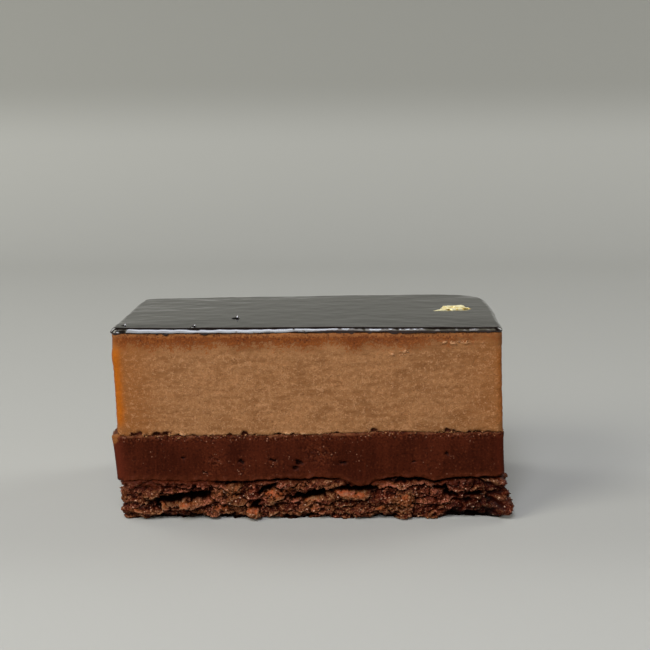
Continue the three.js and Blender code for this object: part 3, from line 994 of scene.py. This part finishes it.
# The glaze's skin: underside rings, a lip that tucks in over the mousse, the bead, and the top's rings,
# which shrink to the middle while the bead's height fades into the crown
def makeGlaze():
    walked = np.linspace(0, perimeter, glaze["columns"], endpoint=False)
    baseX, baseY, outX, outY = glazeEdge(walked, 0)
    around = groundPoints(baseX, baseY)
    depth, even = glaze["hang"]
    hang = depth * (even + np.maximum(-even, noiseOf(around, glaze["hangNoise"])))
    hang = hang + steps(glaze["drips"], walked)
    low = mousseTopAt(walked) + halfGap
    high = glazeTopAt(walked) + noiseOf(around, glaze["topLevel"])
    share, least, start, full = glaze["unevenness"]
    waviness = share * mix(least, 1, ease(np.abs(fromPlace(walked, frontLeft)), start, full))
    uneven = waviness * noiseOf(around, glaze["uneven"])
    fromCorner, start, full = glaze["leftStretch"]
    isLeft = ease(np.abs(fromPlace(walked, frontLeft + fromCorner)), start, full)
    height, more = glaze["bead"]
    tall = (height + more * isLeft) * (1 + glaze["unevenHeight"] * uneven)
    deep = tall * (1 + noiseOf(around, glaze["beadDepth"]))
    roughEdge = waviness * ragged(walked, glaze["proudNoise"])
    proud = glaze["proud"] + glaze["unevenProud"] * (uneven + roughEdge)
    place, half, depth, nickUp = glaze["nick"]
    nick = depth * near(walked, place, half)
    rows = []

    def addRow(x, y, z):
        rows.append(np.stack(np.broadcast_arrays(x, y, z), axis=-1))

    for reach in block["capReach"]:
        level = mix(levels["mousse"] + halfGap, low, reach ** block["capFlatness"])
        addRow(baseX * reach, baseY * reach, level)
    lip = [(-inset, 0) for inset in glaze["underLip"]] + [(out * proud, drop) for out, drop in glaze["lip"]]
    for out, drop in lip:
        addRow(baseX + outX * out, baseY + outY * out, low - drop * hang)
    lipRows = len(rows) + 2  # with the foot of the bead
    edgeX, edgeY, _, _ = glazeEdge(walked, 1)
    right, left = (beadProfile(radius) for radius in glaze["beadTop"])
    for up, inward in mix(right, left, isLeft):
        inset = deep * inward - proud + nick * bell(up - nickUp, nickUp)
        x = mix(baseX, edgeX, up) - outX * inset
        y = mix(baseY, edgeY, up) - outY * inset
        addRow(x, y, high - tall + tall * up)
    rimX, rimY = rows[-1][..., 0], rows[-1][..., 1]
    rimSag = topSag(walked)
    for reach in np.concatenate([np.linspace(*run)[1:] for run in glaze["topReach"]]):
        x, y = rimX * reach, rimY * reach
        waves = noiseOf(groundPoints(x, y), glaze["topWaves"]) * (1 - reach ** glaze["wavePower"])
        crown = mix(levels["glaze"] + levels["crown"], high + rimSag, reach ** block["capFlatness"])
        addRow(x, y, crown + waves - mix(sagAt(x, y), rimSag, reach ** glaze["sagPower"]))
    isLip = (np.arange(len(rows))[:, None] < lipRows) * np.ones(len(walked))
    return skinPiece("glazeLayer", np.stack(rows), {"lip": isLip})


# Bubbles that have set in the glaze: low domes, each with a torn crest of skin that stands up on its
# right. Other sizes are for a radius of one.
bubbles = {
    "places": [(-37.1, -20.4, 0.8), (-23.2, -21.3, 0.7), (-15.7, -10.8, 1.0)],  # x, y and radius
    "rise": 0.28,
    "foot": -0.2,
    "crest": 0.42,
    "crestFront": (-0.34, -0.06),  # y where it starts and is full, from the front and from the back
    "crestBack": (0.5, -0.02),
    "crestSide": (0.5, 0.26),  # its x and spread
    "rings": 40,
    "columns": 96,
}


# A bubble's skin: a foot below the glaze, then a dome that falls off as one minus the radius squared, with
# a crest whose front is a steep smooth ramp
def makeBubbles():
    turn = np.linspace(0, 2 * math.pi, bubbles["columns"], endpoint=False)
    reach = np.linspace(1, 0, bubbles["rings"])[:, None]
    x, y = reach * np.cos(turn), reach * np.sin(turn)
    crestX, spread = bubbles["crestSide"]
    crest = ease(y, *bubbles["crestFront"]) * ease(y, *bubbles["crestBack"]) * bell(x - crestX, spread)
    top = np.stack([x, y, bubbles["rise"] * (1 - reach**2) + bubbles["crest"] * crest], axis=-1)
    foot = np.stack([x, y, 0 * x + bubbles["foot"]], axis=-1)[[-1, 0]]
    skin = np.concatenate([foot, top])
    points, faces = [], []
    for middleX, middleY, radius in bubbles["places"]:
        first = sum(len(part) for part in points)
        rest = np.array([middleX, middleY, levels["glaze"] - sagAt(middleX, middleY)])
        points.append(skinPoints(skin) * radius + rest)
        faces += [face + first for face in skinFaces(len(skin) - 2, bubbles["columns"])]
    return makePiece("bubbles", np.concatenate(points), faces, {})


# Gold leaf: a torn fleck with pointed ends that lies crumpled on the glaze
leaf = {
    # From tip to tip, round the back
    "corners": [(25.4, -2.2), (27, -1.1), (27.9, 2), (32.1, 3.1), (32.7, 1.5), (33.8, 0.7)],
    "rest": 38.87,  # the glaze's level where it lies
    "sink": 0.05,
    "columns": 96,
    "rings": 180,
    "edge": 0.07,  # height of its front edge
    "height": 0.42,  # of its back edge
    "least": 0.02,
    "tipPower": 0.3,  # thins the front edge towards the tips
    "tornFront": (0.05, 0.9, 192, 2),  # shares of the depth
    "tornBack": (0.14, 0.7, 191, 3),
    "crumple": 0.22,
    "crease": 0.7,  # height of a crease's ridge, for a crumple of one
    "creases": (1, (1.6, 0.9, 1), 201, 2),
    "smoothEdge": 0.6,  # width at the front where the crumple fades in
    # x, share of the way back, size and height
    "folds": [(28.9, 0.4, 0.5, 0.1), (31.7, 0.8, 0.45, 0.16), (30.2, 0.5, 0.3, -0.3)],
}


# The leaf's skin: cross-sections from tip to tip, each flat below. Its front edge is straight, its back a
# torn line round the corners, and its top a slope with folds and with creases, a ridge less a noise's size.
def makeLeaf():
    cornerX, cornerY = np.array(leaf["corners"]).T
    share = 0.5 - 0.5 * np.cos(np.linspace(0, math.pi, leaf["rings"]))[:, None]
    x = mix(cornerX[0], cornerX[-1], share)
    front = mix(cornerY[0], cornerY[-1], share)
    depth = np.interp(x, cornerX, cornerY) - front
    fullDepth = depth.max()
    front = front + depth * noiseOf(groundPoints(x, 0), leaf["tornFront"])
    back = front + depth * (1 + noiseOf(groundPoints(x, 0), leaf["tornBack"]))
    half = np.linspace(0, 1, leaf["columns"] // 2)
    across = np.concatenate([half, half[::-1]])
    y = mix(front, back, across)
    crumple = leaf["crumple"] * (leaf["crease"] - np.abs(noiseOf(groundPoints(x, y), leaf["creases"])))
    for foldX, foldShare, size, height in leaf["folds"]:
        crumple = crumple + height * bell(x - foldX, size) * bell((across - foldShare) * fullDepth, size)
    edge = leaf["edge"] * (depth / fullDepth) ** leaf["tipPower"]
    slope = mix(edge, leaf["height"], (y - front) / fullDepth)
    top = np.maximum(slope + crumple * ease(y - front, 0, leaf["smoothEdge"]), leaf["least"])
    isTop = np.arange(len(across)) >= len(half)
    rows = np.stack([x + 0 * y, y, leaf["rest"] + np.where(isTop, top, -leaf["sink"])], axis=-1)
    return skinPiece("goldLeaf", rows, {"crumple": crumple / leaf["crumple"]})


# A node's output socket, with Python's operators for maths on values
class Value:
    def __init__(self, finish, socket):
        self.finish = finish
        self.socket = socket

    def math(self, operation, first, second):
        return self.finish.node("ShaderNodeMath", {"operation": operation}, {0: first, 1: second})

    def __add__(self, other):
        return self.math("ADD", self, other)

    def __sub__(self, other):
        return self.math("SUBTRACT", self, other)

    def __rsub__(self, other):
        return self.math("SUBTRACT", other, self)

    def __mul__(self, other):
        return self.math("MULTIPLY", self, other)

    __radd__ = __add__
    __rmul__ = __mul__


# One node tree: node() adds a node of any type, with its settings first and then its sockets' values or
# links. Patterns are sized in millimetres.
class Finish:
    def __init__(self, owner):
        owner.use_nodes = True
        self.tree = owner.node_tree

    def node(self, kind, settings=None, sockets=None, output=0):
        made = self.tree.nodes.new(kind)
        for name, value in (settings or {}).items():
            if name == "stops":
                self.setStops(made.color_ramp.elements, value)
            else:
                setattr(made, name, value)
        for name, value in (sockets or {}).items():
            self.feed(made.inputs[name], value)
        return Value(self, made.outputs[output])

    def feed(self, socket, value):
        if isinstance(value, Value):
            self.tree.links.new(value.socket, socket)
        else:
            socket.default_value = value

    def setStops(self, elements, stops):
        while len(elements) < len(stops):
            elements.new(1)
        for element, (position, colour) in zip(elements, stops):
            element.position = position
            element.color = (*colour, 1)

    # The point on the piece in metres, stretched so that a pattern is longer along one axis
    def place(self, stretch=(1, 1, 1)):
        spot = self.node("ShaderNodeTexCoord", output="Object")
        shrink = [1 / share for share in stretch]
        return self.node("ShaderNodeMapping", {}, {"Vector": spot, "Scale": shrink})

    # Noise of a size, with finer detail, stretched along an axis
    def noise(self, size, detail=2.0, stretch=(1, 1, 1)):
        sockets = {"Vector": self.place(stretch), "Scale": 1 / (size * mm), "Detail": detail}
        return self.node("ShaderNodeTexNoise", {}, sockets)

    # Distance to the nearest of scattered dots, in units of their spacing
    def dots(self, spacing):
        sockets = {"Vector": self.place(), "Scale": 1 / (spacing * mm)}
        return self.node("ShaderNodeTexVoronoi", {}, sockets, "Distance")

    def attribute(self, name):
        return self.node("ShaderNodeAttribute", {"attribute_name": name}, output="Fac")

    # A value's range low to high, mapped to 0 to 1 by an S curve
    def step(self, value, low, high):
        return self.node(
            "ShaderNodeMapRange",
            {"interpolation_type": "SMOOTHSTEP"},
            {"Value": value, "From Min": low, "From Max": high},
        )

    def mix(self, share, first, second):
        first, second = ((*c, 1) if isinstance(c, tuple) else c for c in (first, second))
        return self.node("ShaderNodeMix", {"data_type": "RGBA"}, {0: share, 6: first, 7: second}, 2)

    # A colour with coats over it, each a share and the name of a colour in the look
    def paint(self, colour, look, coats):
        for share, name in coats:
            colour = self.mix(share, colour, look[name])
        return colour

    def bump(self, height, distance, strength=1.0):
        sockets = {"Height": height, "Distance": distance * mm, "Strength": strength}
        return self.node("ShaderNodeBump", {}, sockets)

    def shade(self, sockets):
        shader = self.tree.nodes["Principled BSDF"]
        for name, value in sockets.items():
            self.feed(shader.inputs[name], value)


# A new material and its node tree
def newFinish(name):
    material = bpy.data.materials.new(name)
    return material, Finish(material)


biscuitLook = {
    # painted shade, near black in the deep crevices
    "creviceShade": (0.003, 0.0004, 0.0002),
    "tones": [  # from dark to golden and red
        (0.0, (0.02, 0.0018, 0.0005)),
        (0.35, (0.0565, 0.0101, 0.0036)),
        (0.6, (0.09, 0.028, 0.0088)),
        (0.8, (0.17, 0.039, 0.01)),
        (1.0, (0.29, 0.06, 0.018)),
    ],
    # dark pores, and painted shade where a point lies lower than what is near it
    "poresAndHollowShade": (0.01, 0.0011, 0.0004),
    "paleGrainsAndRaisedHighlight": (0.178, 0.084, 0.038),  # pale grains, and a painted highlight on edges that stand out
    "redGrainsAndRaisedHighlight": (0.23, 0.072, 0.042),
    "smear": (0.042, 0.007, 0.002),  # the layer above, drawn down over the top edge
    # painted glints
    "glint": (0.42, 0.25, 0.17),
    "patch": (4.5, 3.0, (1.6, 1.6, 1)),  # noises: size, detail and stretch
    "redPatch": (3.2, 2.0, (1.6, 1.6, 1)),
    "speckle": (0.4, 3.0),
    "grit": (0.27, 1.0),
    "glintPatch": (1.0, 1.0),
    "glintSpacing": 0.75,
}


# Crumb: each flake has its own brown, golden or red, with dark pores and painted shade where it lies behind
# what is near it, pale grains and a painted highlight where it stands out, and a few painted glints
def biscuitFinish():
    material, f = newFinish("biscuitCrumb")
    look = biscuitLook
    patch, speckle, grit = (f.noise(*look[name]) for name in ("patch", "speckle", "grit"))
    ledge, peak = f.attribute("ledge"), f.attribute("peak")
    tone = f.attribute("tone") + 0.85 * patch - 0.32
    body = f.node("ShaderNodeValToRGB", {"stops": look["tones"]}, {"Fac": tone})
    # dark pores from the grit, and painted shade where the crumb lies lower than what is near it
    poresAndHollowShadeShare = f.step(peak + 0.25 * ledge + 0.3 * (speckle - 0.5) + 1.6 * (grit - 0.5), 0.0, -0.28)
    body = f.mix(0.9 * poresAndHollowShadeShare, body, look["poresAndHollowShade"])
    # pale grains, and a painted highlight where the crumb stands out above what is near it
    paleGrainsAndHighlightShare = f.step(0.7 * peak + 0.1 * ledge + 1.1 * (speckle - 0.5) + 1.9 * (grit - 0.5), 0.18, 0.44)
    # golden or red colours of those pale grains and painted highlights
    grains = f.mix(f.step(f.noise(*look["redPatch"]), 0.4, 0.62), look["paleGrainsAndRaisedHighlight"], look["redGrainsAndRaisedHighlight"])
    body = f.mix(paleGrainsAndHighlightShare * (0.2 + 0.7 * f.step(tone, 0.0, 0.45)), body, grains)
    glintPatch = f.step(f.noise(*look["glintPatch"]) + 0.3 * peak, 0.5, 0.66)
    coats = [
        # painted glints, sparse bright dots in patches
        (0.8 * (f.step(f.dots(look["glintSpacing"]), 0.28, 0.13) * glintPatch), "glint"),
        (0.8 * f.attribute("smear"), "smear"),
        # painted shade, near black where the relief goes deep into crevices
        (f.step(f.attribute("deep"), -0.6, -2.0), "creviceShade"),
    ]
    f.shade({"Base Color": f.paint(body, look, coats), "Roughness": 0.35 + 0.2 * patch})
    f.shade({"Normal": f.bump(speckle, 0.2, 0.9), "Specular IOR Level": 0.04})
    return material


ganacheLook = {
    "body": (0.0435, 0.0075, 0.0025),
    "deep": (0.026, 0.004, 0.0012),
    "grain": (0.075, 0.017, 0.006),
    # painted glints on the rough places
    "speckGlint": (0.28, 0.13, 0.08),
    "residue": (0.14, 0.05, 0.021),  # mousse drawn over the top edge
    "drape": (0.19, 0.07, 0.02),  # mousse that hangs over the front left corner
    # painted glow where light comes through the corners
    "corner": (0.085, 0.0148, 0.0062),
    # painted shade in the pits, also used for dark pores
    "pit": (0.006, 0.0009, 0.0002),
    "mottle": (5.0, 4.0, (1, 1, 2)),  # noises: size, detail and stretch
    "fine": (0.4, 3.0),
    "streaks": (0.5, 2.0, (1, 1, 14)),
    "drawnFine": (0.6, 3.0, (2, 2, 1)),
    "drawnWide": (5.0, 2.0),
    "speckGlintPatch": (1.2, 2.0),
    "speckSpacing": 0.6,
}


# Ganache: dark red-brown, mottled and streaked by the knife, grainier with painted glints where it is
# rough, painted shade in its pits and on the right, and a painted red glow where light comes through the
# corners
def ganacheFinish():
    material, f = newFinish("ganacheCut")
    look = ganacheLook
    mottle, fine, streaks = (f.noise(*look[name]) for name in ("mottle", "fine", "streaks"))
    nearTop, rough = f.attribute("nearTop"), f.attribute("rough")
    # painted shade towards the right-hand end
    even = 0.7 * mottle + 0.3 * streaks - 0.05 * f.attribute("dim")
    body = f.mix(f.step(even, 0.36, 0.62), look["deep"], look["body"])
    drawn = 0.6 * f.noise(*look["drawnFine"]) + 0.6 * f.noise(*look["drawnWide"])
    speckGlintPatch = f.step(f.noise(*look["speckGlintPatch"]) + 0.2 * rough, 0.59, 0.72)
    coats = [
        (0.7 * f.step(fine + 0.14 * rough, 0.54, 0.78), "grain"),
        # dark pores in the fine grain
        (0.5 * f.step(fine - 0.06 * rough, 0.46, 0.32), "pit"),
        (0.4 * f.attribute("nearBottom"), "grain"),
        (0.75 * f.step(nearTop * nearTop + drawn, 1.52, 1.78), "residue"),
        # painted glints, small pale dots in patches
        (0.55 * (f.step(f.dots(look["speckSpacing"]), 0.32, 0.12) * speckGlintPatch), "speckGlint"),
        # painted shade in the pits
        (0.95 * f.step(f.attribute("pit"), 0.15, 0.6), "pit"),
        # painted glow at the corners
        (0.6 * f.attribute("corner"), "corner"),
        (0.85 * f.step(f.attribute("drape") + (fine - 0.5), 0.3, 0.75), "drape"),
    ]
    f.shade({"Base Color": f.paint(body, look, coats), "Roughness": 0.4 + 0.2 * fine})
    f.shade({"Normal": f.bump(fine + 0.5 * streaks, 0.08, 0.8), "Specular IOR Level": 0.03})
    return material


mousseLook = {
    "body": (0.22, 0.101, 0.04),
    "shade": (0.15, 0.061, 0.02),
    "pale": (0.38, 0.2, 0.1),
    "band": (0.157, 0.041, 0.005),
    "bandDark": (0.08, 0.0132, 0.001),
    # painted glow, wide round the corners
    "warm": (0.185, 0.06, 0.0105),
    "crest": (0.25, 0.105, 0.035),  # a thin strip against the glaze
    # painted glow at the corners
    "glow": (0.275, 0.07, 0.002),
    # painted shade in the tears, also used for dark specks in the band
    "tear": (0.045, 0.009, 0.003),
    "drag": (1.3, 4.0, (3, 3, 1)),  # noises: size, detail and stretch
    "cloud": (5.0, 3.0, (1.6, 1.6, 1)),
    "grain": (0.75, 4.0, (1.2, 1.2, 1)),
    "speckle": (0.3, 2.0),
    "speckSpacing": 0.8,
    "poreSpacing": 0.5,
}


# Mousse: fine-grained milk chocolate, drawn out a little sideways, with a redder grainy band under the
# glaze, a painted orange glow at the corners, and painted shade on the right and in the torn edge below
def mousseFinish():
    material, f = newFinish("mousseCut")
    look = mousseLook
    drag, cloud, grain, speckle = (f.noise(*look[name]) for name in ("drag", "cloud", "grain", "speckle"))
    band, dim, tear = (f.attribute(name) for name in ("band", "dim", "tear"))
    rough = 0.5 * grain + 0.5 * speckle
    roughly, cloudily = rough - 0.5, cloud - 0.5  # either way from even
    # painted shade towards the right-hand end
    body = f.mix(f.step(0.6 * drag + 0.4 * cloud - 0.05 * dim, 0.32, 0.58), look["shade"], look["body"])
    coats = [
        # painted glow, wide round the corners
        (0.8 * f.attribute("warm"), "warm"),
        (0.9 * f.step(rough, 0.49, 0.74), "pale"),
        (0.9 * f.step(rough, 0.51, 0.3), "shade"),
    ]
    body = f.paint(body, look, coats)
    reddish = f.mix(f.step(0.25 * cloud + 0.9 * rough, 0.44, 0.72), look["bandDark"], look["band"])
    bandShare = f.step(band + 3.2 * roughly + 0.4 * cloudily, 0.3, 0.75)
    body = f.mix(bandShare * (0.92 - 0.15 * dim), body, reddish)
    coats = [
        (0.55 * f.step(f.attribute("crest") + 3.4 * roughly + 0.8 * cloudily, 0.3, 1.2), "crest"),
        (0.65 * (f.step(f.dots(look["speckSpacing"]), 0.34, 0.16) * f.step(band, 0.55, 0.95)), "tear"),
        # painted glow at the corners
        (f.step(f.attribute("glow") + 0.5 * cloudily + 0.8 * roughly, 0.0, 1.1), "glow"),
        # painted shade where the tears go in
        (f.step(tear + 0.4 * roughly, -0.08, -0.4), "tear"),
        # painted highlight where a flap stands out
        (0.85 * f.step(tear, 0.1, 0.34), "pale"),
    ]
    pores = f.step(f.dots(look["poreSpacing"]), 0.1, 0.35)
    f.shade({"Base Color": f.paint(body, look, coats), "Roughness": 0.62 + 0.2 * grain})
    f.shade({"Normal": f.bump(rough + 0.5 * pores, 0.12, 0.9), "Specular IOR Level": 0.1})
    f.shade({"Subsurface Weight": 0.06, "Subsurface Scale": 0.0008, "Subsurface Radius": (1.0, 0.45, 0.18)})
    return material


glazeLook = {
    "dark": (0.004, 0.0028, 0.0022),
    "brown": (0.009, 0.0058, 0.0045),
    "thin": (0.014, 0.004, 0.0022),  # the lip, where the mousse shows through
    "cloud": (9.0, 2.0, (2, 1, 1)),  # noises: size, detail and stretch
    "waves": (5.0, 1.5),
}


# Mirror glaze: almost black and very smooth, with faint waves and a browner lip
def glazeFinish():
    material, f = newFinish("glazeMirror")
    cloud, waves = (f.noise(*glazeLook[name]) for name in ("cloud", "waves"))
    colour = f.mix(cloud, glazeLook["dark"], glazeLook["brown"])
    colour = f.mix(f.attribute("lip"), colour, glazeLook["thin"])
    f.shade({"Base Color": colour, "Roughness": 0.05 + 0.06 * cloud, "Normal": f.bump(waves, 0.14, 1.0)})
    f.shade({"IOR": 1.5, "Specular IOR Level": 0.5})
    return material


# Bubbles: a film of glaze so thin that it shines more than the rest
def bubbleFinish():
    material, f = newFinish("glazeBubble")
    f.shade({"Base Color": (*glazeLook["dark"], 1), "Roughness": 0.08, "IOR": 2.1})
    return material


goldLook = {
    # painted shade in the folds
    "foldShade": (0.2, 0.14, 0.035),
    "deep": (1.0, 0.72, 0.2),
    # painted highlight on the upward creases
    "ridgeHighlight": (1.0, 0.93, 0.58),
    "wrinkles": (0.45, 2.0, (2.5, 1, 1)),  # noises: size, detail and stretch
    "grain": (0.5, 1.0),
}


# Gold leaf: a painted highlight where it is creased upwards and painted shade in its folds
def goldFinish():
    material, f = newFinish("goldLeaf")
    crumple = f.attribute("crumple") + 2.4 * (f.noise(*goldLook["wrinkles"]) - 0.5)
    colour = f.mix(f.step(crumple, 0.1, 0.45), goldLook["deep"], goldLook["ridgeHighlight"])
    colour = f.mix(f.step(crumple, 0.08, -0.15), colour, goldLook["foldShade"])
    f.shade({"Base Color": colour, "Roughness": 0.22, "Metallic": 0.45})
    f.shade({"Normal": f.bump(f.noise(*goldLook["grain"]), 0.1, 0.6)})
    return material


studio = {
    "floorFront": -1500,
    "sweepStart": 420,
    "sweepRadius": 260,
    "sweepRows": 24,
    "wallTop": 520,
    "halfWidth": 1800,
    "floorColour": (0.34, 0.34, 0.327),
    "floorAhead": (0.1, 0.1, 0.096),  # far in front, under the lights
    "wallColour": (0.36, 0.36, 0.343),
    "wallHigh": (0.27, 0.27, 0.252),
    "aheadRange": (-0.3, -0.55),  # in metres, where one turns into the other
    "wallRange": (0, 0.06),
    "highRange": (0.06, 0.105),
    "zenith": (0.024, 0.024, 0.024),
    "horizon": (0.13, 0.127, 0.115),
    "skyRange": (0.22, 0.45),  # heights where the sky leaves the horizon's colour and reaches the zenith's
    "lights": {  # place and size in metres, power in watts, colour
        "keyLight": ((-0.089, -0.591, 0.738), (0.24, 0.369), 4.1, (0.93, 0.97, 1.1)),
        "keyLow": ((-0.124, -0.826, 0.453), (0.24, 0.387), 1.9, (0.93, 0.97, 1.1)),
        "sideStrip": ((0.053, -0.731, 0.604), (0.1, 0.787), 0.9, (1, 0.94, 0.98)),
        "frontLight": ((-0.028, -0.86, 0.602), (0.6, 0.682), 2.4, (1.05, 1, 0.78)),
        "leftLight": ((-0.6, -0.5, 0.5), (0.45, 0.5), 6.3, (1.03, 1, 0.87)),
        "backLeft": ((-0.75, 0.45, 0.62), (0.5, 0.5), 4.0, (1, 1, 0.95)),
        "backRight": ((0.75, 0.45, 0.62), (0.5, 0.5), 4.0, (1, 1, 0.95)),
    },
}


# A pale floor that sweeps up into a low wall: straight, quarter circle and straight, carried sideways
def makeStudio():
    turn = np.radians(np.linspace(0, 90, studio["sweepRows"]))
    bottom = studio["sweepStart"]
    radius = studio["sweepRadius"]
    along = np.concatenate([[studio["floorFront"]], bottom + radius * np.sin(turn), [bottom + radius]])
    up = np.concatenate([[0], radius * (1 - np.cos(turn)), [studio["wallTop"]]])
    side = np.array([-1, 1])[:, None] * studio["halfWidth"]
    points = np.stack(np.broadcast_arrays(side, along, up), axis=-1)
    count = len(along)
    first = np.arange(count - 1)
    quads = np.stack([first, first + count, first + count + 1, first + 1], axis=-1)
    floor = makePiece("studioFloor", points.reshape(-1, 3), [quads], {})
    material, f = newFinish("studioFloor")
    depth, height = (f.node("ShaderNodeSeparateXYZ", {}, {"Vector": f.place()}, axis) for axis in "YZ")
    wall = f.mix(f.step(height, *studio["highRange"]), studio["wallColour"], studio["wallHigh"])
    ground = f.mix(f.step(depth, *studio["aheadRange"]), studio["floorColour"], studio["floorAhead"])
    f.shade({"Base Color": f.mix(f.step(height, *studio["wallRange"]), ground, wall)})
    f.shade({"Roughness": 0.75, "Specular IOR Level": 0.15})
    floor.data.materials.append(material)


# The sky: dark overhead and paler towards the horizon
def makeSky():
    world = bpy.data.worlds.new("studio")
    bpy.context.scene.world = world
    w = Finish(world)
    facing = w.node("ShaderNodeTexCoord", output="Generated")
    height = w.node("ShaderNodeSeparateXYZ", {}, {"Vector": facing}, "Z")
    low, high = studio["skyRange"]
    stops = [(0.0, studio["horizon"]), (low, studio["horizon"]), (high, studio["zenith"])]
    sky = w.node("ShaderNodeValToRGB", {"stops": stops}, {"Fac": height})
    w.feed(w.tree.nodes["Background"].inputs["Color"], sky)


# A rectangular light that faces the pastry
def addSoftbox(name, place, size, power, colour):
    light = bpy.data.lights.new(name, "AREA")
    light.color = colour
    light.shape = "RECTANGLE"
    light.size, light.size_y = size
    light.energy = power
    lamp = bpy.data.objects.new(name, light)
    lamp.location = place
    lamp.rotation_euler = (-Vector(place)).to_track_quat("-Z", "Y").to_euler()
    bpy.context.scene.collection.objects.link(lamp)


shot = {
    "place": (4.05, -273.65, 79.5),
    "lens": 72,
    "sensor": 36,
    "clipStart": 0.01,  # metres
    "pitch": 9.11,  # degrees down
    "yaw": 0.3,  # degrees to the left
    "roll": -0.25,
}


# The camera: turned, tipped and leaned from a level one that looks along +Y
def addCamera():
    data = bpy.data.cameras.new("camera")
    data.lens = shot["lens"]
    data.sensor_width = shot["sensor"]
    data.clip_start = shot["clipStart"]
    camera = bpy.data.objects.new("camera", data)
    turn = Matrix.Rotation(math.radians(shot["yaw"]), 4, "Z")
    tip = Matrix.Rotation(math.radians(90 - shot["pitch"]), 4, "X")
    lean = Matrix.Rotation(math.radians(shot["roll"]), 4, "Z")
    camera.matrix_world = Matrix.Translation(Vector(shot["place"]) * mm) @ turn @ tip @ lean
    bpy.context.scene.collection.objects.link(camera)
    bpy.context.scene.camera = camera


# Stage
addCamera()
makeStudio()
makeSky()
for name, light in studio["lights"].items():
    addSoftbox(name, *light)
bpy.context.scene.view_settings.view_transform = "Standard"
print("stage done")

# Pieces
biscuitPiece, biscuitSkin, biscuitValues, biscuitSide = makeBiscuit()
crumbPiece = makeCrumbs(biscuitSkin, biscuitValues, biscuitSide)
ganachePiece = makeGanache()
moussePiece = makeMousse()
fleckPiece = makeFlecks()
glazePiece = makeGlaze()
bubblePiece = makeBubbles()
leafPiece = makeLeaf()
print("pieces done")

# Finishes, and what each piece stands for
crumbMaterial = biscuitFinish()
mousseMaterial = mousseFinish()
dressed = [
    (biscuitPiece, crumbMaterial, "biscuit", "biscuit"),
    (crumbPiece, crumbMaterial, "biscuit", "biscuit"),
    (ganachePiece, ganacheFinish(), "ganache", "ganache"),
    (moussePiece, mousseMaterial, "mousse", "mousse"),
    (fleckPiece, mousseMaterial, "mousse", "mousse"),
    (glazePiece, glazeFinish(), "glaze", "glaze"),
    (bubblePiece, bubbleFinish(), "glaze", "glaze"),
    (leafPiece, goldFinish(), "glaze", "gold_leaf"),
]
for piece, material, node, slot in dressed:
    piece.data.materials.append(material)
    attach(piece, "root")
    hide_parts(node)
print("finishes done")
